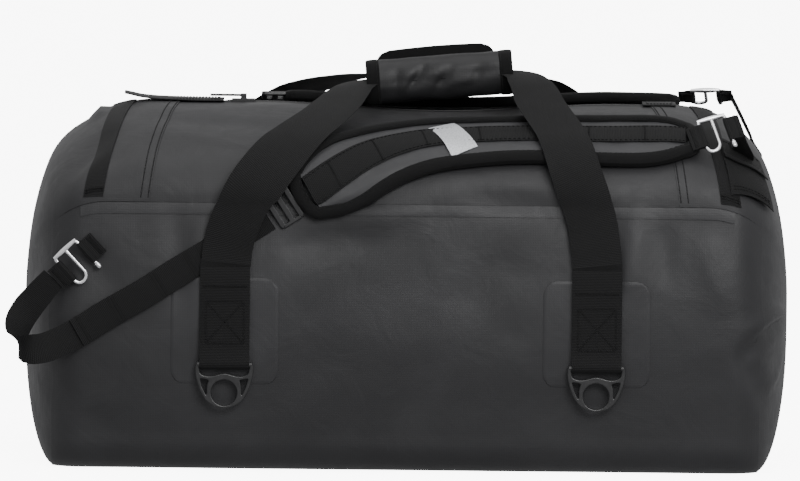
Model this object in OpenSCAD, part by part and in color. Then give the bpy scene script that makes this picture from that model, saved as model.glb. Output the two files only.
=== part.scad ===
// Waterproof duffel-style dry bag: welded body with a domed lid, a zipper along the top,
// two carry handles with one grip wrap, two shoulder straps and four lashing rings.
// The bag stands on its base. +X runs along its length, +Y to the back, +Z up.

/* [Bag body] */
// Length of the bag from end to end
bag_length = 776; // [740:1:820]
// Depth of the bag at the lid seam, front to back
bag_depth = 350; // [340:1:370]
// Height of the seam between the walls and the lid
seam_height = 272; // [260:1:285]
// How far the front and rear walls bulge
wall_bulge = 12; // [4:1:16]
// Radius of the edge between the base and the walls
base_edge_radius = 35; // [25:1:45]
// Radius of the lid's front and rear shoulders
shoulder_radius = 60; // [50:1:70]
// Angle that a shoulder turns through
shoulder_turn = 62; // [58:1:66]
// Thickness of the coated fabric
fabric = 2; // [1:0.5:3]

/* [Webbing] */
// Width of the carry handle webbing
handle_width = 50; // [40:1:55]
// Width of the shoulder strap webbing
strap_width = 30; // [25:1:35]
// Thickness of one layer of webbing
webbing = 1.6; // [1:0.1:2]

/* [Lashing rings] */
// Width of a ring
ring_width = 60; // [56:1:64]
// Radius of the round hole in a ring
ring_hole_radius = 13; // [11:0.5:14]
// Thickness of a ring
ring_thickness = 5; // [4:0.5:6]

/* [Shoulder straps] */
// Width of a shoulder pad at its middle
pad_width = 82; // [70:1:86]
// Thickness of a shoulder pad
pad_thickness = 8; // [6:0.5:9]

/* [Hidden] */

// Colours
tarpaulin = [0.27, 0.27, 0.29];
black_webbing = [0.11, 0.11, 0.12];
dark_plastic = [0.2, 0.2, 0.21];
bright_metal = [0.82, 0.82, 0.84];
reflective = [0.78, 0.79, 0.8];

// Body shape
half_length = bag_length / 2;
half_depth = bag_depth / 2;
base_half = half_depth - base_edge_radius;
middle_height = 150;
top_radius = ((half_depth - shoulder_radius) + shoulder_radius * cos(shoulder_turn))
    / cos(shoulder_turn);
top_centre = seam_height + (shoulder_radius - top_radius) * sin(shoulder_turn);
apex = top_centre + top_radius;

// Distances along the section, measured over the skin from the front edge of the base
per_degree = PI / 180;
s_corner = base_edge_radius * 90 * per_degree;
s_seam = s_corner + seam_height - base_edge_radius;
s_shoulder = s_seam + shoulder_radius * shoulder_turn * per_degree;
s_apex = s_shoulder + top_radius * (90 - shoulder_turn) * per_degree;
s_rear_seam = 2 * s_apex - s_seam;

// Where the panels meet
gap = 0.4;
end_seam = half_length - 32;
left_cut_low = -270;
left_cut_top = -241;
right_cut_low = 284;
right_cut_top = 255;
zip_half_width = 14;
teeth_half_width = 1.8;

// Handles, rings and anchors
left_anchor_x = -182;
right_anchor_x = 191;
ring_bar_height = 110;
ring_bar_radius = 3;
ring_bar_y = -191.4;
anchor_top = 205;
anchor_face_y = -192.2;
grip_centre = [31.5, -32, 390];
grip_tilt = 5;
grip_length = 149;
grip_depth = 34;
grip_height = 44;
binding_length = 14;

// Hook shape
hook_bar = 3.4;
hook_reach = 14;
hook_half_width = 17;
smooth = 48;

// ---------- The skin of the bag ----------

function front_half(s) =
    s < 0 ? [-(base_half + s), 0]
    : s < s_corner ?
        let (a = s / base_edge_radius / per_degree)
        [-base_half - base_edge_radius * sin(a), base_edge_radius * (1 - cos(a))]
    : s < s_seam ?
        let (up = s - s_corner)
        [-half_depth - wall_bulge * sin(180 * up / (s_seam - s_corner)), base_edge_radius + up]
    : s < s_shoulder ?
        let (a = (s - s_seam) / shoulder_radius / per_degree)
        [-(half_depth - shoulder_radius) - shoulder_radius * cos(a),
            seam_height + shoulder_radius * sin(a)]
    :
        let (a = (s_apex - s) / top_radius / per_degree)
        [-top_radius * sin(a), top_centre + top_radius * cos(a)];

function section(s) =
    s <= s_apex ? front_half(s)
    : let (p = front_half(2 * s_apex - s)) [-p[0], p[1]];

// How much of the section is left at x, where the end rounds off from start outwards
function end_round(x, start, power) =
    let (d = max(0, min(1, (abs(x) - start) / (half_length - start))))
    pow(1 - pow(d, power), 1 / power);

function skin_point(x, s) =
    let (p = section(s), rise = p[1] - middle_height)
    [x,
        p[0] * end_round(x, half_length - 63, 2.2),
        middle_height + rise * (rise > 0 ? end_round(x, half_length - 88, 2.2)
            : end_round(x, half_length - 36, 2))];

function unit(v) = v / norm(v);

// A point that stands n off the skin
function skin(x, s, n) =
    let (along = skin_point(x + 1, s) - skin_point(x - 1, s),
        up = skin_point(x, s + 1) - skin_point(x, s - 1))
    skin_point(x, s) + n * unit(cross(along, up));

// ---------- Closed sheets made from two grids of points ----------

module closed_sheet(outer, inner) {
    rows = len(outer);
    cols = len(outer[0]);
    back = rows * cols;
    function at(i, j) = i * cols + j;
    polyhedron(
        points = [for (grid = [outer, inner]) for (row = grid) for (p = row) p],
        faces = [
            for (i = [0 : rows - 2]) for (j = [0 : cols - 2])
                each [
                    [at(i, j), at(i, j + 1), at(i + 1, j + 1)],
                    [at(i, j), at(i + 1, j + 1), at(i + 1, j)],
                    [back + at(i, j), back + at(i + 1, j + 1), back + at(i, j + 1)],
                    [back + at(i, j), back + at(i + 1, j), back + at(i + 1, j + 1)]
                ],
            for (i = [0 : rows - 2])
                each [
                    [at(i, 0), at(i + 1, 0), back + at(i + 1, 0)],
                    [at(i, 0), back + at(i + 1, 0), back + at(i, 0)],
                    [at(i, cols - 1), back + at(i + 1, cols - 1), at(i + 1, cols - 1)],
                    [at(i, cols - 1), back + at(i, cols - 1), back + at(i + 1, cols - 1)]
                ],
            for (j = [0 : cols - 2])
                each [
                    [at(0, j), back + at(0, j + 1), at(0, j + 1)],
                    [at(0, j), back + at(0, j), back + at(0, j + 1)],
                    [at(rows - 1, j), at(rows - 1, j + 1), back + at(rows - 1, j + 1)],
                    [at(rows - 1, j), back + at(rows - 1, j + 1), back + at(rows - 1, j)]
                ]
        ]);
}

// A piece of the body between two lines across the bag, given by x at the seam and at the apex
module body_panel(low_a, top_a, low_b, top_b, across, s_list) {
    function cut(low, top, s) =
        low + (top - low) * max(0, 1 - abs(s - s_apex) / (s_apex - s_seam));
    function rows(n) = [
        for (u = across) [
            for (s = s_list)
                skin((1 - u) * cut(low_a, top_a, s) + u * cut(low_b, top_b, s), s, n)]];
    closed_sheet(rows(0), rows(-fabric));
}

function steps(a, b, count) = [for (i = [0 : count]) a + (b - a) * i / count];

// Direction across a path laid on the skin, in the skin's own two directions
function across_path(path, i) =
    let (a = path[max(0, i - 1)], b = path[min(len(path) - 1, i + 1)],
        d = unit([b[0] - a[0], b[1] - a[1]]))
    [-d[1], d[0]];

// The same path moved sideways to its edge, and given a new width
function edge_path(path, side, width) = [
    for (i = [0 : len(path) - 1])
        let (v = across_path(path, i), d = side * (path[i][3] - width) / 2)
        [path[i][0] + v[0] * d, path[i][1] + v[1] * d, path[i][2], width]];

// The same path with a new height and width
function relaid(path, n, width) = [for (p = path) [p[0], p[1], n, width]];

// A strip laid over the skin. Each point of the path is [x, s, height off the skin, width].
module laid(path, thick, cols = 2) {
    function rows(lift) = [
        for (i = [0 : len(path) - 1])
            let (v = across_path(path, i), p = path[i])
            [for (j = [0 : cols])
                let (w = p[3] * (j / cols - 0.5)) skin(p[0] + v[0] * w, p[1] + v[1] * w, p[2] + lift)]];
    closed_sheet(rows(thick), rows(0));
}

module rear() {
    mirror([0, 1, 0]) children();
}

// ---------- Body panels ----------

wall_steps = concat(steps(0, s_corner, 4), [for (s = steps(s_corner, s_seam - gap, 6)) if (s > s_corner) s]);
lid_steps = concat(steps(s_seam + gap, s_shoulder, 4),
    [for (s = steps(s_shoulder, s_apex - zip_half_width - gap, 4)) if (s > s_shoulder) s]);
// Distances from the end seam at which the rounding of the ends is stepped
end_steps = [0, 12, 26, 44, 68];
end_columns = [for (i = [len(end_steps) - 1 : -1 : 0]) end_seam - gap - end_steps[i]];

module base_panel() {
    side = [
        for (x = end_columns)
            [min(x, end_seam - 3 * gap), base_half * end_round(x, half_length - 63, 2.2) - gap]];
    back = [for (i = [len(side) - 1 : -1 : 0]) side[i]];
    outline = concat(
        side,
        [for (p = back) [p[0], -p[1]]],
        [for (p = side) [-p[0], -p[1]]],
        [for (p = back) [-p[0], p[1]]]);
    color(tarpaulin) linear_extrude(fabric) polygon(outline);
}

module front_panel() {
    width = 2 * (end_seam - gap);
    left = [for (e = end_steps) e / width];
    right = [for (i = [len(end_steps) - 1 : -1 : 0]) 1 - end_steps[i] / width];
    x = end_seam - gap;
    color(tarpaulin) body_panel(-x, -x, x, x, concat(left, right), wall_steps);
}

module lid_front_panel() {
    color(tarpaulin)
        body_panel(left_cut_low, left_cut_top, right_cut_low, right_cut_top, [0, 0.5, 1], lid_steps);
}

module lid_end_panel(low, top) {
    back_steps = [for (i = [len(lid_steps) - 1 : -1 : 0]) 2 * s_apex - lid_steps[i]];
    x = end_seam - gap;
    run = x - low;
    across = concat([0], [for (i = [len(end_steps) - 1 : -1 : 0]) if (end_steps[i] < run) 1 - end_steps[i] / run]);
    color(tarpaulin) body_panel(low + gap, top + gap, x, x, across, concat(lid_steps, [s_apex], back_steps));
}

// The end rounds off ring by ring to a pole at its middle
module end_panel() {
    rings = [end_seam, end_seam + 9, end_seam + 18, end_seam + 25, end_seam + 30];
    front = concat(steps(-base_half / 2, -base_half / 8, 1), wall_steps, lid_steps);
    back = [for (i = [len(front) - 1 : -1 : 0]) 2 * s_apex - front[i]];
    around = concat([-base_half], front, [s_apex], back);
    cols = len(around);
    rows = len(rings);
    back_face = rows * cols;
    pole = 2 * rows * cols;
    function at(i, j) = i * cols + j % cols;
    function grid(n) = [for (x = rings) for (s = around) skin(x, s, n)];
    color(tarpaulin)
        polyhedron(
            points = concat(grid(0), grid(-fabric),
                [[half_length, 0, middle_height], [half_length - fabric, 0, middle_height]]),
            faces = [
                for (i = [0 : rows - 2]) for (j = [0 : cols - 1])
                    each [
                        [at(i, j), at(i, j + 1), at(i + 1, j + 1)],
                        [at(i, j), at(i + 1, j + 1), at(i + 1, j)],
                        [back_face + at(i, j), back_face + at(i + 1, j + 1), back_face + at(i, j + 1)],
                        [back_face + at(i, j), back_face + at(i + 1, j), back_face + at(i + 1, j + 1)]
                    ],
                for (j = [0 : cols - 1])
                    each [
                        [at(rows - 1, j), at(rows - 1, j + 1), pole],
                        [back_face + at(rows - 1, j + 1), back_face + at(rows - 1, j), pole + 1],
                        [at(0, j), back_face + at(0, j + 1), at(0, j + 1)],
                        [at(0, j), back_face + at(0, j), back_face + at(0, j + 1)]
                    ]
            ]);
}

module seam_tape() {
    width = 11;
    last = len(end_columns) - 2;
    right = [for (i = [0 : last]) end_columns[i]];
    left = [for (i = [last : -1 : 0]) -end_columns[i]];
    color(tarpaulin)
        laid([for (x = concat(left, right)) [x, s_seam - width / 2 - 1, 0.5, width]], 0.6, 1);
}

// ---------- Zipper ----------

zip_start = left_cut_top + 3;
zip_end = right_cut_top - 3;
slider_x = -168;
pin_height = apex + 5.6;

module zipper_tapes() {
    color(black_webbing)
        for (side = [0, 1])
            mirror([0, side, 0])
                translate([zip_start, -zip_half_width + gap, apex - 1.9])
                    cube([zip_end - zip_start, zip_half_width - teeth_half_width - 2 * gap, webbing]);
}

module zipper_teeth() {
    color(dark_plastic)
        translate([zip_start, -teeth_half_width, apex - 1.5])
            cube([zip_end - zip_start, 2 * teeth_half_width, 2.5]);
}

module zipper_slider() {
    length = 24;
    width = 13;
    color(dark_plastic)
        difference() {
            union() {
                translate([slider_x - length / 2, -width / 2, apex + gap])
                    cube([length, width, 2.6]);
                for (side = [-1, 1])
                    translate([slider_x - 3, side * 5 - 1, apex + 2])
                        cube([6, 2, 6]);
                translate([slider_x, -5, pin_height])
                    rotate([-90, 0, 0]) cylinder(h = 10, r = 1.2, $fn = smooth);
            }
            translate([slider_x - length, -teeth_half_width - 0.5, apex - 1])
                cube([2 * length, 2 * teeth_half_width + 1, 2.5]);
        }
}

module zipper_pull() {
    reach = 34;
    color(dark_plastic)
        difference() {
            union() {
                translate([slider_x, -3.6, pin_height])
                    rotate([-90, 0, 0]) cylinder(h = 7.2, r = 2.2, $fn = smooth);
                translate([slider_x - reach, -3.6, pin_height])
                    cube([reach, 7.2, 2]);
            }
            translate([slider_x, -5, pin_height])
                rotate([-90, 0, 0]) cylinder(h = 10, r = 1.28, $fn = smooth);
            translate([slider_x - reach + 8, 0, pin_height - 1])
                cylinder(h = 4, r = 2, $fn = smooth);
        }
}

module left_zipper_dock() {
    color(black_webbing)
        laid([[-286, s_apex, 22, 30], [-272, s_apex, 13, 34], [-258, s_apex, 6, 36],
            [-244, s_apex, 2.2, 36], [-190, s_apex, 1.5, 36]], 2.4, 2);
}

module right_zipper_dock() {
    color(black_webbing)
        laid([[238, s_apex, 1.5, 36], [272, s_apex, 1.5, 36]], 2.4, 2);
}

module end_strip(low_x, top_x) {
    front = concat([s_seam + 6], [for (s = lid_steps) if (s > s_seam + 6) s]);
    back = [for (i = [len(front) - 1 : -1 : 0]) 2 * s_apex - front[i]];
    color(black_webbing)
        laid([for (s = concat(front, [s_apex], back))
            [low_x + (top_x - low_x) * (1 - abs(s - s_apex) / (s_apex - s_seam)), s, 1.2, 20]],
            1.2, 1);
}

// ---------- Lashing points ----------

module patch(x) {
    color(tarpaulin)
        laid([for (s = steps(110, 217, 4)) [x, s, 0.3, 108]], 0.6, 1);
}

module handle_anchor(x) {
    loop_radius = ring_bar_radius + 0.08;
    color(black_webbing)
        difference() {
            union() {
                translate([x - handle_width / 2, anchor_face_y, ring_bar_height + 2])
                    cube([handle_width, 2 * webbing, anchor_top - ring_bar_height - 2]);
                translate([x - handle_width / 2 + 1, ring_bar_y, ring_bar_height])
                    rotate([0, 90, 0]) cylinder(h = handle_width - 2, r = loop_radius + webbing, $fn = smooth);
            }
            translate([x - handle_width, ring_bar_y, ring_bar_height])
                rotate([0, 90, 0]) cylinder(h = 2 * handle_width, r = loop_radius, $fn = smooth);
        }
}

// Ring that hangs below its bar. The plate has a round eye and a slot on either side of it.
module lashing_ring(x) {
    plate_top = ring_bar_height - 9;
    eye_height = ring_bar_height - 28;
    half = ring_width / 2;
    side = 5;
    color(dark_plastic) {
        translate([x - half + side / 2, ring_bar_y, ring_bar_height])
            rotate([0, 90, 0]) cylinder(h = ring_width - side, r = ring_bar_radius, $fn = smooth);
        translate([x, ring_bar_y + ring_thickness / 2, 0])
            rotate([90, 0, 0])
                linear_extrude(ring_thickness)
                    difference() {
                        union() {
                            for (e = [-1, 1])
                                polygon([
                                    [e * half, ring_bar_height + 3],
                                    [e * (half - side), ring_bar_height + 3],
                                    [e * (half - side), plate_top - 6],
                                    [e * (ring_hole_radius + 1), eye_height - 13],
                                    [e * (ring_hole_radius + 4), eye_height - 14],
                                    [e * half, plate_top - 10]
                                ]);
                            translate([-half + 1, plate_top - 5]) square([ring_width - 2, 5]);
                            translate([0, eye_height]) circle(r = ring_hole_radius + 4, $fn = 96);
                        }
                        translate([0, eye_height]) circle(r = ring_hole_radius, $fn = 96);
                    }
    }
}

// ---------- Carry handles ----------

front_handle_path = [
    [-181, 227, 5.7, handle_width], [-179, 250, 7, handle_width], [-172, 273, 11, handle_width],
    [-160, 297, 15, handle_width], [-141, 320, 17, handle_width], [-115, 350, 17, handle_width],
    [-90, 383, 17.5, handle_width], [-70, 420, 19, 44], [-64, 446, 22, 26], [-51, 467, 24, 12],
    [-28, 475, 26, 18], [31, 475, 31, 18], [90, 477, 36, 16], [114, 470, 36, 12],
    [124, 449, 33, 26], [128, 434, 28.5, 42], [131, 418, 24.5, handle_width],
    [140, 396, 20.5, handle_width], [150, 372, 17.5, handle_width], [158, 350, 16, handle_width],
    [165, 330, 14.5, handle_width], [171, 315, 11, handle_width], [178, 298, 8, handle_width],
    [185, 275, 6.5, handle_width], [189, 250, 6, handle_width], [191, 227, 5.7, handle_width]];

rear_handle_path = [
    [-182, 227, 5.7, handle_width], [-181, 255, 6, handle_width], [-178, 280, 7, handle_width],
    [-171, 305, 10, handle_width], [-160, 330, 14, handle_width], [-146, 357, 16.5, handle_width],
    [-130, 385, 18, handle_width], [-110, 414, 21, handle_width], [-84, 443, 24, handle_width],
    [-55, 465, 27, handle_width], [-20, 480, 28, handle_width], [31, 484, 28, handle_width],
    [75, 480, 28, handle_width], [105, 466, 27, handle_width], [128, 444, 25, handle_width],
    [146, 416, 21, handle_width], [160, 386, 18, handle_width], [170, 357, 16.5, handle_width],
    [178, 330, 14, handle_width], [185, 305, 10, handle_width], [189, 280, 7, handle_width],
    [191, 255, 6, handle_width], [191, 227, 5.7, handle_width]];

module front_handle_webbing() {
    color(black_webbing) laid(front_handle_path, webbing, 2);
}

module rear_handle_webbing() {
    color(black_webbing) laid(rear_handle_path, webbing, 2);
}

module rounded_outline(width, height, radius) {
    square([width - 2 * radius, height], center = true);
    square([width, height - 2 * radius], center = true);
    for (x = [-1, 1], y = [-1, 1])
        translate([x * (width / 2 - radius), y * (height / 2 - radius)]) circle(r = radius, $fn = smooth);
}

// A sleeve along X with a rounded outline, from x = from to x = from + length
module sleeve(from, length, grow, wall) {
    translate([from, 0, 0])
        rotate([90, 0, 90])
            linear_extrude(length)
                difference() {
                    rounded_outline(grip_depth + grow, grip_height + grow, 13);
                    rounded_outline(grip_depth + grow - 2 * wall, grip_height + grow - 2 * wall, 11);
                }
}

module at_grip() {
    translate(grip_centre) rotate([0, -grip_tilt, 0]) children();
}

module grip_wrap() {
    color(tarpaulin)
        at_grip() sleeve(-grip_length / 2 + binding_length, grip_length - 2 * binding_length, 0, 2.4);
}

module grip_bindings() {
    color(black_webbing)
        at_grip()
            for (from = [-grip_length / 2, grip_length / 2 - binding_length + gap])
                sleeve(from, binding_length - gap, 1.6, 3.2);
}

// The wrap's open closing flap stands up behind it
module grip_flap() {
    length = 122;
    height = 30;
    round = 12;
    color(black_webbing)
        at_grip()
            translate([-length / 2 - 4, grip_depth / 2 + 2.4, grip_height / 2 - 16])
                rotate([90, 0, 0])
                    linear_extrude(1)
                        union() {
                            square([length, height - round - 8]);
                            translate([round, 0]) square([length - 2 * round, height - 8]);
                            for (x = [round, length - round])
                                translate([x, height - round - 8]) circle(r = round, $fn = smooth);
                        }
}

// ---------- Shoulder straps ----------

front_pad_path = [
    [-104, 299, 2, 0.66 * pad_width], [-88, 309, 2, 0.85 * pad_width], [-66, 323, 2, pad_width],
    [-38, 340, 2, pad_width], [-8, 354, 2, pad_width], [26, 364, 2, pad_width],
    [72, 371, 2, pad_width], [128, 374, 2, pad_width], [190, 373, 2, pad_width],
    [238, 373, 2, pad_width], [266, 373, 2, 0.92 * pad_width], [286, 373, 2, 0.66 * pad_width]];

rear_pad_path = [
    [-118, 443, 2, 0.66 * pad_width], [-98, 444, 2, 0.85 * pad_width], [-66, 445, 2, pad_width],
    [0, 445, 2, pad_width], [90, 445, 2, pad_width], [170, 445, 2, pad_width],
    [222, 444, 2, pad_width], [250, 443, 2, 0.9 * pad_width], [269, 442, 2, 0.66 * pad_width]];

binding_width = 5;

module pad_core(path) {
    inner = [for (p = path) [p[0], p[1], p[2], p[3] - 2 * (binding_width + gap)]];
    color(tarpaulin) laid(inner, pad_thickness, 4);
}

module pad_binding(path) {
    color(black_webbing)
        for (side = [-1, 1])
            laid(edge_path(path, side, binding_width), pad_thickness + 1, 1);
}

module pad_webbing(path) {
    color(black_webbing) laid(relaid(path, pad_thickness + 2.6, strap_width), webbing, 2);
}

module reflective_tab(from, to) {
    lift = pad_thickness + 2.6 + webbing + 2 * gap;
    color(reflective)
        laid([for (k = steps(0, 1, 4)) concat((1 - k) * from + k * to, [lift, 29])], 0.8, 2);
}

// Frame with two slots. Local x runs along the strap, from the pad towards the tail.
module ladder_lock() {
    length = 27;
    width = 38;
    color(dark_plastic)
        linear_extrude(4)
            difference() {
                rounded_outline(length, width, 4);
                for (x = [-5.5, 5.5])
                    translate([x, 0]) square([6, strap_width + 1], center = true);
            }
}

module at_front_lock() {
    translate([-124, -180.5, 269]) rotate([90, 0, 0]) rotate([0, 0, 213]) children();
}

module at_rear_lock() {
    translate([-137, -62, apex]) rotate([12, 0, 0]) rotate([0, 0, 180]) children();
}

// Tail webbing of the front strap: down the wall, out round a slack loop, and back up to its hook.
// The width direction leans up and left all the way.
tail_lean = unit([-0.5, 0, 0.86]);
front_tail_route = [
    [-143, -182, 257], [-168, -184.4, 241], [-194, -185.6, 224], [-230, -187.8, 202], [-263, -190.8, 181],
    [-299, -191.4, 159], [-330, -193.6, 139], [-352, -198.6, 130], [-374, -205, 125],
    [-393, -208, 127], [-404, -202, 136], [-401, -193, 150], [-388, -188, 166],
    [-371, -188, 181], [-356, -190, 193]];

rear_tail_path = [
    [-157, 441, 3, strap_width], [-180, 427, 3, strap_width], [-204, 402, 3, strap_width],
    [-224, 372, 4, strap_width], [-233, 356, 4.5, strap_width], [-242, 340, 4.5, strap_width],
    [-250, 326, 4.5, strap_width], [-257, 312, 4.5, strap_width], [-264, 299, 4, strap_width],
    [-270, 288, 3.5, strap_width], [-283, 264, 3, strap_width]];

// A flat ribbon through points in space, with its width along one fixed direction
module ribbon(route, lean, width, thick) {
    function corner(i, w, t) =
        let (d = unit(route[min(len(route) - 1, i + 1)] - route[max(0, i - 1)]),
            side = unit(lean - (lean * d) * d), n = cross(d, side))
        route[i] + side * w * width / 2 + n * t * thick / 2;
    function rows(t) = [for (i = [0 : len(route) - 1]) [corner(i, -1, t), corner(i, 1, t)]];
    closed_sheet(rows(1), rows(-1));
}

// Flat bar in a plane from one point to another
module bar(from, to, width) {
    d = to - from;
    translate(from)
        rotate(atan2(d[1], d[0]))
            translate([-width / 2, -width / 2]) square([norm(d) + width, width]);
}

// Open-sided metal hook. Local x points to its anchor, and its gate is on the -y side.
module strap_hook() {
    w = hook_half_width;
    u = hook_reach;
    curl = [[0, 3 - w], [-3, -w - 1], [-8, -w - 2.5], [2 - u, -w - 1], [-u, 3 - w]];
    color(bright_metal)
        linear_extrude(hook_bar, center = true) {
            bar([-u, w], [u, w], hook_bar);
            bar([u, w], [u, -w], hook_bar);
            bar([0, w], curl[0], hook_bar);
            bar([-u, w], curl[4], hook_bar);
            for (i = [0 : 3])
                bar(curl[i], curl[i + 1], hook_bar);
            translate([u, -w]) circle(r = 0.8 * hook_bar, $fn = smooth);
        }
}

// Webbing folded round a hook's bar at x = bar, with its two plies going to x = to
module webbing_loop(bar, to, width) {
    hole = 0.75 * hook_bar;
    lift = 0.2;
    color(black_webbing)
        difference() {
            union() {
                translate([bar, width / 2, 0])
                    rotate([90, 0, 0]) cylinder(h = width, r = hole + webbing, $fn = smooth);
                translate([min(bar, to), -width / 2, -webbing - lift])
                    cube([abs(to - bar), width, 2 * (webbing + lift)]);
            }
            translate([bar, width, 0])
                rotate([90, 0, 0]) cylinder(h = 2 * width, r = hole, $fn = smooth);
        }
}

loop_width = 25;
tail_reach = -hook_reach - 12;

module at_front_tail_hook() {
    translate([-331, -190.6, 212]) rotate([90, 0, 0]) rotate([0, 0, 43]) children();
}

module at_rear_tail_hook() {
    translate([-306, -190.4, 212]) rotate([90, 0, 0]) rotate([0, 0, 240]) children();
}

module at_front_top_hook() {
    translate([309, -147, 345]) rotate([58, 0, 0]) rotate([0, 0, 18]) children();
}

module at_rear_top_hook() {
    translate([305, -70, 366]) rotate([25, 0, 0]) rotate([0, 0, 5]) children();
}

// One anchor loop for each of a strap's two hooks
module hook_anchor(reach) {
    webbing_loop(hook_reach, hook_reach + reach, loop_width);
}

module anchor_flap() {
    color(black_webbing)
        laid([for (k = steps(0, 1, 8)) [334 + 10 * k, 398 - 80 * k, 4.2, 40]], 2.4, 4);
}

// ---------- Nodes ----------

base_panel();
front_panel();
rear() front_panel();  // rear_panel
mirror([1, 0, 0]) end_panel();  // left_end_panel
end_panel();  // right_end_panel
lid_front_panel();
rear() lid_front_panel();  // lid_rear_panel
mirror([1, 0, 0]) lid_end_panel(-left_cut_low, -left_cut_top);  // lid_left_panel
lid_end_panel(right_cut_low, right_cut_top);  // lid_right_panel
seam_tape();  // front_seam_tape
rear() seam_tape();  // rear_seam_tape
zipper_tapes();
zipper_teeth();
left_zipper_dock();
right_zipper_dock();
zipper_slider();
zipper_pull();
end_strip(-316, -287);  // left_end_strip
end_strip(325, 296);  // right_end_strip
patch(left_anchor_x);  // front_left_patch
patch(right_anchor_x);  // front_right_patch
rear() patch(left_anchor_x);  // rear_left_patch
rear() patch(right_anchor_x);  // rear_right_patch
handle_anchor(left_anchor_x);  // front_left_handle_anchor
handle_anchor(right_anchor_x);  // front_right_handle_anchor
rear() handle_anchor(left_anchor_x);  // rear_left_handle_anchor
rear() handle_anchor(right_anchor_x);  // rear_right_handle_anchor
lashing_ring(left_anchor_x);  // front_left_ring
lashing_ring(right_anchor_x);  // front_right_ring
rear() lashing_ring(left_anchor_x);  // rear_left_ring
rear() lashing_ring(right_anchor_x);  // rear_right_ring
front_handle_webbing();
rear() rear_handle_webbing();
grip_wrap();
grip_bindings();
grip_flap();
pad_core(front_pad_path);  // front_pad
pad_binding(front_pad_path);  // front_pad_binding
pad_webbing(front_pad_path);  // front_pad_webbing
reflective_tab([34, 385], [56, 346]);  // front_reflective_tab
at_front_lock() ladder_lock();  // front_ladder_lock
color(black_webbing) ribbon(front_tail_route, tail_lean, strap_width, webbing);  // front_tail_webbing
at_front_tail_hook() webbing_loop(-hook_reach, tail_reach, loop_width);  // front_tail_loop
at_front_tail_hook() strap_hook();  // front_tail_hook
at_front_top_hook() webbing_loop(-hook_reach, tail_reach, loop_width);  // front_pad_loop
at_front_top_hook() strap_hook();  // front_top_hook
rear() pad_core(rear_pad_path);  // rear_pad
rear() pad_binding(rear_pad_path);  // rear_pad_binding
rear() pad_webbing(rear_pad_path);  // rear_pad_webbing
rear() reflective_tab([44, 466], [44, 424]);  // rear_reflective_tab
rear() at_rear_lock() ladder_lock();  // rear_ladder_lock
color(black_webbing) rear() laid(rear_tail_path, webbing, 1);  // rear_tail_webbing
rear() at_rear_tail_hook() webbing_loop(-hook_reach, tail_reach, loop_width);  // rear_tail_loop
rear() at_rear_tail_hook() strap_hook();  // rear_tail_hook
rear() at_rear_top_hook() webbing_loop(-hook_reach, tail_reach, loop_width);  // rear_pad_loop
rear() at_rear_top_hook() strap_hook();  // rear_top_hook
union() {  // front_hook_anchors
    at_front_tail_hook() hook_anchor(16);
    at_front_top_hook() hook_anchor(12);
}
rear() {  // rear_hook_anchors
    at_rear_tail_hook() hook_anchor(16);
    at_rear_top_hook() hook_anchor(12);
}
anchor_flap();  // front_anchor_flap
rear() anchor_flap();  // rear_anchor_flap
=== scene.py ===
"""Duffel-style dry bag: fabric body, webbing, straps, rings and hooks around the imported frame."""

import math

import bpy
import numpy as np
from mathutils import Matrix, Vector, noise


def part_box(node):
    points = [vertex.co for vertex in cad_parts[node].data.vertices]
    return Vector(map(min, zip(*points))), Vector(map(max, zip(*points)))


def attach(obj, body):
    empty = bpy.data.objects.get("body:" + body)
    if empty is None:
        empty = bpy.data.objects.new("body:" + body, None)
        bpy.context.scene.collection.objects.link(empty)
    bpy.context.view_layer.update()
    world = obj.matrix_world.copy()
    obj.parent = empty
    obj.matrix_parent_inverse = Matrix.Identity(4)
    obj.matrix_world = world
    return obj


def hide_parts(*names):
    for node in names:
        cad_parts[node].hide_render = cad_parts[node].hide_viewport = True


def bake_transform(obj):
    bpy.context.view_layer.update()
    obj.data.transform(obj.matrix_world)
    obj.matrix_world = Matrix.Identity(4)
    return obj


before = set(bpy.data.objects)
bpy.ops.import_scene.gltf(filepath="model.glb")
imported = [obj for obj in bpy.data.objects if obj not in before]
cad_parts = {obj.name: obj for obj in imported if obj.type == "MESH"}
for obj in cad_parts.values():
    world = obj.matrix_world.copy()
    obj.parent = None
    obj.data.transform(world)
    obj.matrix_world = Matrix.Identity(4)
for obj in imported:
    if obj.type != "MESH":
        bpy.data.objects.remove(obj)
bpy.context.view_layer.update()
MM = 0.001

# ---------- Sizes of the bag, taken from the frame (millimetres) ----------


def box_mm(node):
    low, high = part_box(node)
    return [v / MM for v in low], [v / MM for v in high]


half_length = box_mm("right_end_panel")[1][0]
half_depth = box_mm("lid_left_panel")[1][1]
seam_height = box_mm("front_panel")[1][2] + 0.4
wall_bulge = -box_mm("front_panel")[0][1] - half_depth
base_edge_radius = 35
shoulder_radius = 60
shoulder_turn = math.radians(62)
base_half = half_depth - base_edge_radius
middle_height = 150
end_seam = half_length - 32
top_radius = ((half_depth - shoulder_radius) / math.cos(shoulder_turn)) + shoulder_radius
top_centre = seam_height + (shoulder_radius - top_radius) * math.sin(shoulder_turn)

# Distances over the skin, from the front edge of the base to the top and down to the back
s_corner = base_edge_radius * math.pi / 2
s_seam = s_corner + seam_height - base_edge_radius
s_shoulder = s_seam + shoulder_radius * shoulder_turn
s_apex = s_shoulder + top_radius * (math.pi / 2 - shoulder_turn)

left_cut = (-270, -241)
right_cut = (284, 255)
zip_half_width = 14
# How far from an end its plan, its crown and its base edge begin to round off
plan_corner = 63
crown_corner = 88
base_corner = 36
roundness = 2.2
left_anchor_x = sum(box_mm("front_left_ring")[i][0] for i in (0, 1)) / 2
right_anchor_x = sum(box_mm("front_right_ring")[i][0] for i in (0, 1)) / 2
bar_height = 110
bar_y = -191.4


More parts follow.
